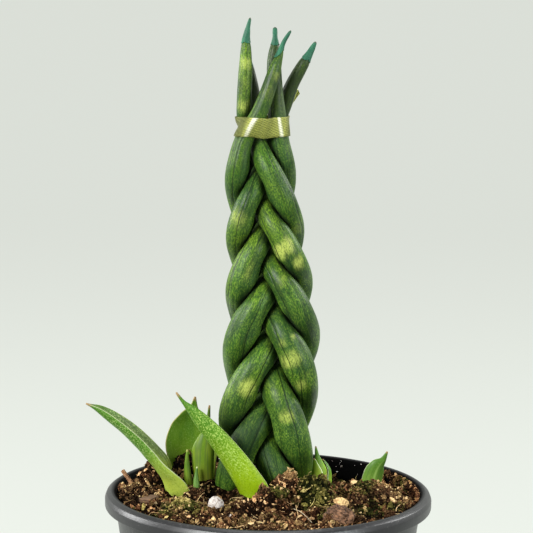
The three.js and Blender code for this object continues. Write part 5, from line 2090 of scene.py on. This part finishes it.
CLODS = Strewing("peat_clods", Grain.CLOD, 170, (0.0014, 0.0038), (0.05, 0.5), 0.45, 4)
STREWINGS = (
    Strewing("fine_grit", Grain.GRIT, 8200, (0.0003, 0.00085), (0.1, 1.02), 0.2, 3, 2.4),
    Strewing("peat_crumbs", Grain.CRUMB, 1400, (0.0006, 0.0015), (0.06, 0.85), 0.3, 5, 2.2),
    Strewing("bark_flakes", Grain.FLAKE, 1350, (0.0006, 0.0022), (0.12, 1.08), 0.0, 7, 1.7),
    Strewing("root_fibres", Grain.FIBRE, 200, (0.0016, 0.005), (0.3, 1.0), 0.0, 12, 1.2),
)
WALL_CRUMBS = Strewing("wall_crumbs", Grain.CRUMB, 600, (0.0004, 0.0015), (0.12, 1.0), -0.1, 13, 1.6, 0.0)
WALL_SPECKS = Strewing("wall_specks", Grain.FLAKE, 26, (0.0002, 0.0007), (0.5, 1.0), 0.2, 17, 1.6, 0.0)


# ---- Coarse pieces ----
@dataclass(frozen=True)
class Lump:
    """A single coarse piece that lies on the mix."""

    node: str
    at: tuple[float, float]
    size: Point  # half sizes
    turn: float  # degrees about the vertical
    lift: float = 0.35  # height of its middle above the mix, as a share of its half height
    lean: float = 0.0  # degrees about its own length before it is turned

    def _settle(self, made: Piece, ground: Ground) -> None:
        """Scales, turns and places a piece modelled at half size one.

        Args:
            made: The piece.
            ground: The bed that it lies on.
        """
        pick(made, "VERT", lambda vert: True)
        bpy.ops.transform.resize(value=self.size, center_override=(0, 0, 0))
        leave_edit()
        turn = (Matrix.Rotation(math.radians(self.turn), 3, "Z")
                @ Matrix.Rotation(math.radians(self.lean), 3, "Y"))
        points = points_of(made) @ np.array(turn).T
        level = RIM + ground.height(*self.at) + self.lift * self.size[2]
        place_points(made, points + np.array((*self.at, level)))

    def ball(self, ground: Ground, depth: float, pits: float, moss: float = 0.0) -> Piece:
        """A rough round lump.

        Args:
            ground: The bed that it lies on.
            depth: Height of its broad bumps as a share of its size.
            pits: Height of its fine bumps.
            moss: How mossy it is, from 0 to 1.

        Returns:
            The piece.
        """
        bpy.ops.mesh.primitive_ico_sphere_add(subdivisions=5, radius=1.0)
        made = fresh(f"{self.node}_piece")
        roughened(made, "CLOUDS", 0.75, depth)
        roughened(made, "VORONOI", 0.32, pits)
        roughened(made, "CLOUDS", 0.14, 0.5 * pits)
        self._settle(made, ground)
        shade = 0.36 + 0.32 * ripple(points_of(made), 0.0013, self.at[0] * 900)
        note(made, "tint", stacked(shade, moss, 0.0))
        smooth_shaded(made, 55.0)
        return made

    def chip(self, ground: Ground, seed: int) -> Piece:
        """A split chip with layered, ragged sides.

        Args:
            ground: The bed that it lies on.
            seed: Varies its sides.

        Returns:
            The piece.
        """
        bpy.ops.mesh.primitive_cube_add(size=2.0)
        made = fresh(f"{self.node}_piece")
        pick(made, "FACE", lambda face: True)
        bpy.ops.mesh.subdivide(number_cuts=2)
        bpy.ops.transform.vertex_random(offset=0.22, seed=seed)
        bpy.ops.mesh.select_all(action="SELECT")
        bpy.ops.mesh.subdivide(number_cuts=2)
        bpy.ops.transform.vertex_random(offset=0.06, seed=seed + 1)
        leave_edit()
        apply(made, "BEVEL", width=0.12, segments=2, limit_method="ANGLE", angle_limit=math.radians(50.0))
        self._settle(made, ground)
        smooth_shaded(made, 35.0)
        return made


HAIR = (  # x, y, height, radius
    (0.0112, -0.0273, -0.0027, 0.00018), (0.0123, -0.0329, -0.0015, 0.0002),
    (0.0142, -0.0354, -0.0015, 0.00018), (0.0165, -0.0376, -0.0024, 0.00016),
    (0.0188, -0.0408, -0.0037, 0.00013), (0.0206, -0.0457, -0.0045, 0.00008),
)


@dataclass
class Litter:
    """The coarse pieces of the mix: perlite, clods, bark chips and sticks."""

    ground: Ground
    hair: Table = HAIR
    tan: tuple[Colour, Colour] = ((0.28, 0.15, 0.055), (0.86, 0.6, 0.27))
    brown: tuple[Colour, Colour] = ((0.06, 0.032, 0.018), (0.22, 0.13, 0.07))
    orange: tuple[Colour, Colour] = ((0.14, 0.06, 0.025), (0.5, 0.28, 0.14))

    def make(self) -> list[Piece]:
        """Models the pieces and returns the clods, which carry crumbs of their own."""
        perlite, peat = Perlite().make(), Peat("peat_clod").make()
        for lump in (Lump("perlite_ball", (-0.0249, -0.0295), (0.0038, 0.0036, 0.0042), 0.0, 0.3),
                     Lump("perlite_grain", (-0.0171, -0.045), (0.0012, 0.001, 0.001), 40.0, 1.0)):
            hand_over(lump.ball(self.ground, depth=0.22, pits=0.1), "perlite", perlite, lump.node)
        clods = []
        for lump, moss in ((Lump("peat_clod_front", (0.0045, -0.026), (0.0052, 0.0042, 0.0028), 15.0), 0.7),
                           (Lump("peat_clod_right", (0.0275, -0.005), (0.0056, 0.0042, 0.003), -20.0), 0.6),
                           (Lump("peat_clod_left", (-0.056, 0.014), (0.0052, 0.0044, 0.003), 30.0), 0.1)):
            clods.append(lump.ball(self.ground, depth=0.5, pits=0.28, moss=moss))
            hand_over(clods[-1], "potting_mix", peat, lump.node)
        self._bark()
        self._root_hair()
        return clods

    def _bark(self) -> None:
        """Models two rounded lumps of bark, split chips and sticks."""
        knot = Lump("bark_chip_red", (0.0335, -0.044), (0.0066, 0.0054, 0.0054), -25.0)
        fibrous = Wood("fibrous_bark", (0.014, 0.007, 0.004), (0.29, 0.15, 0.078), 0.5).make()
        hand_over(knot.ball(self.ground, depth=0.5, pits=0.42), "bark", fibrous, knot.node)
        pebble = Lump("bark_chip_tan", (0.0344, -0.03), (0.0037, 0.0026, 0.0028), 12.0, 0.5)
        pale = Wood("bark_chip_tan_wood", *self.tan, 0.2).make()
        hand_over(pebble.ball(self.ground, depth=0.35, pits=0.22), "bark", pale, pebble.node)
        chips = (
            (self.brown, Lump("bark_chip_left", (-0.057, -0.022), (0.0046, 0.0026, 0.0015), 60.0)),
            (self.brown, Lump("bark_chip_back", (0.006, 0.058), (0.005, 0.0032, 0.0016), 10.0)),
            (self.tan, Lump("wood_sliver", (0.0141, -0.0255), (0.0005, 0.0008, 0.0028), -15.0, 0.7, 8.0)),
            (self.orange, Lump("orange_stick", (-0.0693, 0.0104), (0.0008, 0.0009, 0.0053), -8.0, 0.6,
                               -36.0)),
        )
        for seed, (colours, lump) in enumerate(chips):
            wood = Wood(f"{lump.node}_wood", *colours, math.radians(lump.turn)).make()
            hand_over(lump.chip(self.ground, seed), "bark", wood, lump.node)

    def _root_hair(self) -> None:
        """A pale root as fine as a hair that curls out of the mix."""
        path = Stations(self.hair)
        blank = Blank("root_hair", 8, 44)
        s = path.length * blank.share
        row = path(s)
        blank.lay(row[:, None, :3] + (0, 0, RIM) + blank.rays(path.heading(s)) * row[:, None, 3:4])
        skin = Wood("root_hair_skin", (0.3, 0.25, 0.16), (0.62, 0.55, 0.38)).make()
        hand_over(blank.finished(), "potting_mix", skin)


@dataclass
class PottingMix:
    """The bed with all that lies on it."""

    pot: NurseryPot
    stalks: list[Piece]
    lowest: float = RIM - 0.022  # no grain lies below this

    def make(self) -> None:
        """Models the bed, the coarse pieces and the loose grains."""
        ground = Ground(self.pot)
        ground.make()
        carriers = [ground.bed, *Litter(ground).make()]
        keep_out = self._stalk_tree()
        peat = Peat("peat_crumb").make()
        carriers.append(CLODS.make(ground, Seats(carriers, self.lowest, least_rise=0.3), keep_out, peat))
        seats = Seats(carriers, self.lowest, least_rise=-0.1)
        for strewing in STREWINGS:
            strewing.make(ground, seats, keep_out, peat)
        WALL_CRUMBS.make(ground, WallSeats(self.pot, (-8.0, 37.0), 0.014), keep_out, peat)
        white = Perlite("white_specks").make()
        WALL_SPECKS.make(ground, WallSeats(self.pot, (42.0, 112.0), 0.006), keep_out, white)

    def _stalk_tree(self) -> BVHTree:
        """All leaves, pups and buds as one tree for distances."""
        points, faces, total = [], [], 0
        for stalk in self.stalks:
            skin = points_of(stalk)
            points.extend(map(tuple, skin))
            faces.extend([corner + total for corner in face.vertices] for face in stalk.data.polygons)
            total += len(skin)
        return BVHTree.FromPolygons(points, faces)


def main() -> None:
    """Builds the studio and the plant, and reports every piece."""
    logging.basicConfig(level=logging.INFO, format="%(name)s %(message)s")
    Studio().make()
    pot = NurseryPot()
    pot.make()
    braid = Braid()
    stalks = braid.make()
    RibbonTie(braid).make()
    stalks += [pup.make() for pup in PUPS]
    PottingMix(pot, stalks).make()
    dress(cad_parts["rhizome"], Wood("rhizome_skin", (0.3, 0.15, 0.05), (0.62, 0.42, 0.18)).make())


if __name__ == "__main__":
    main()
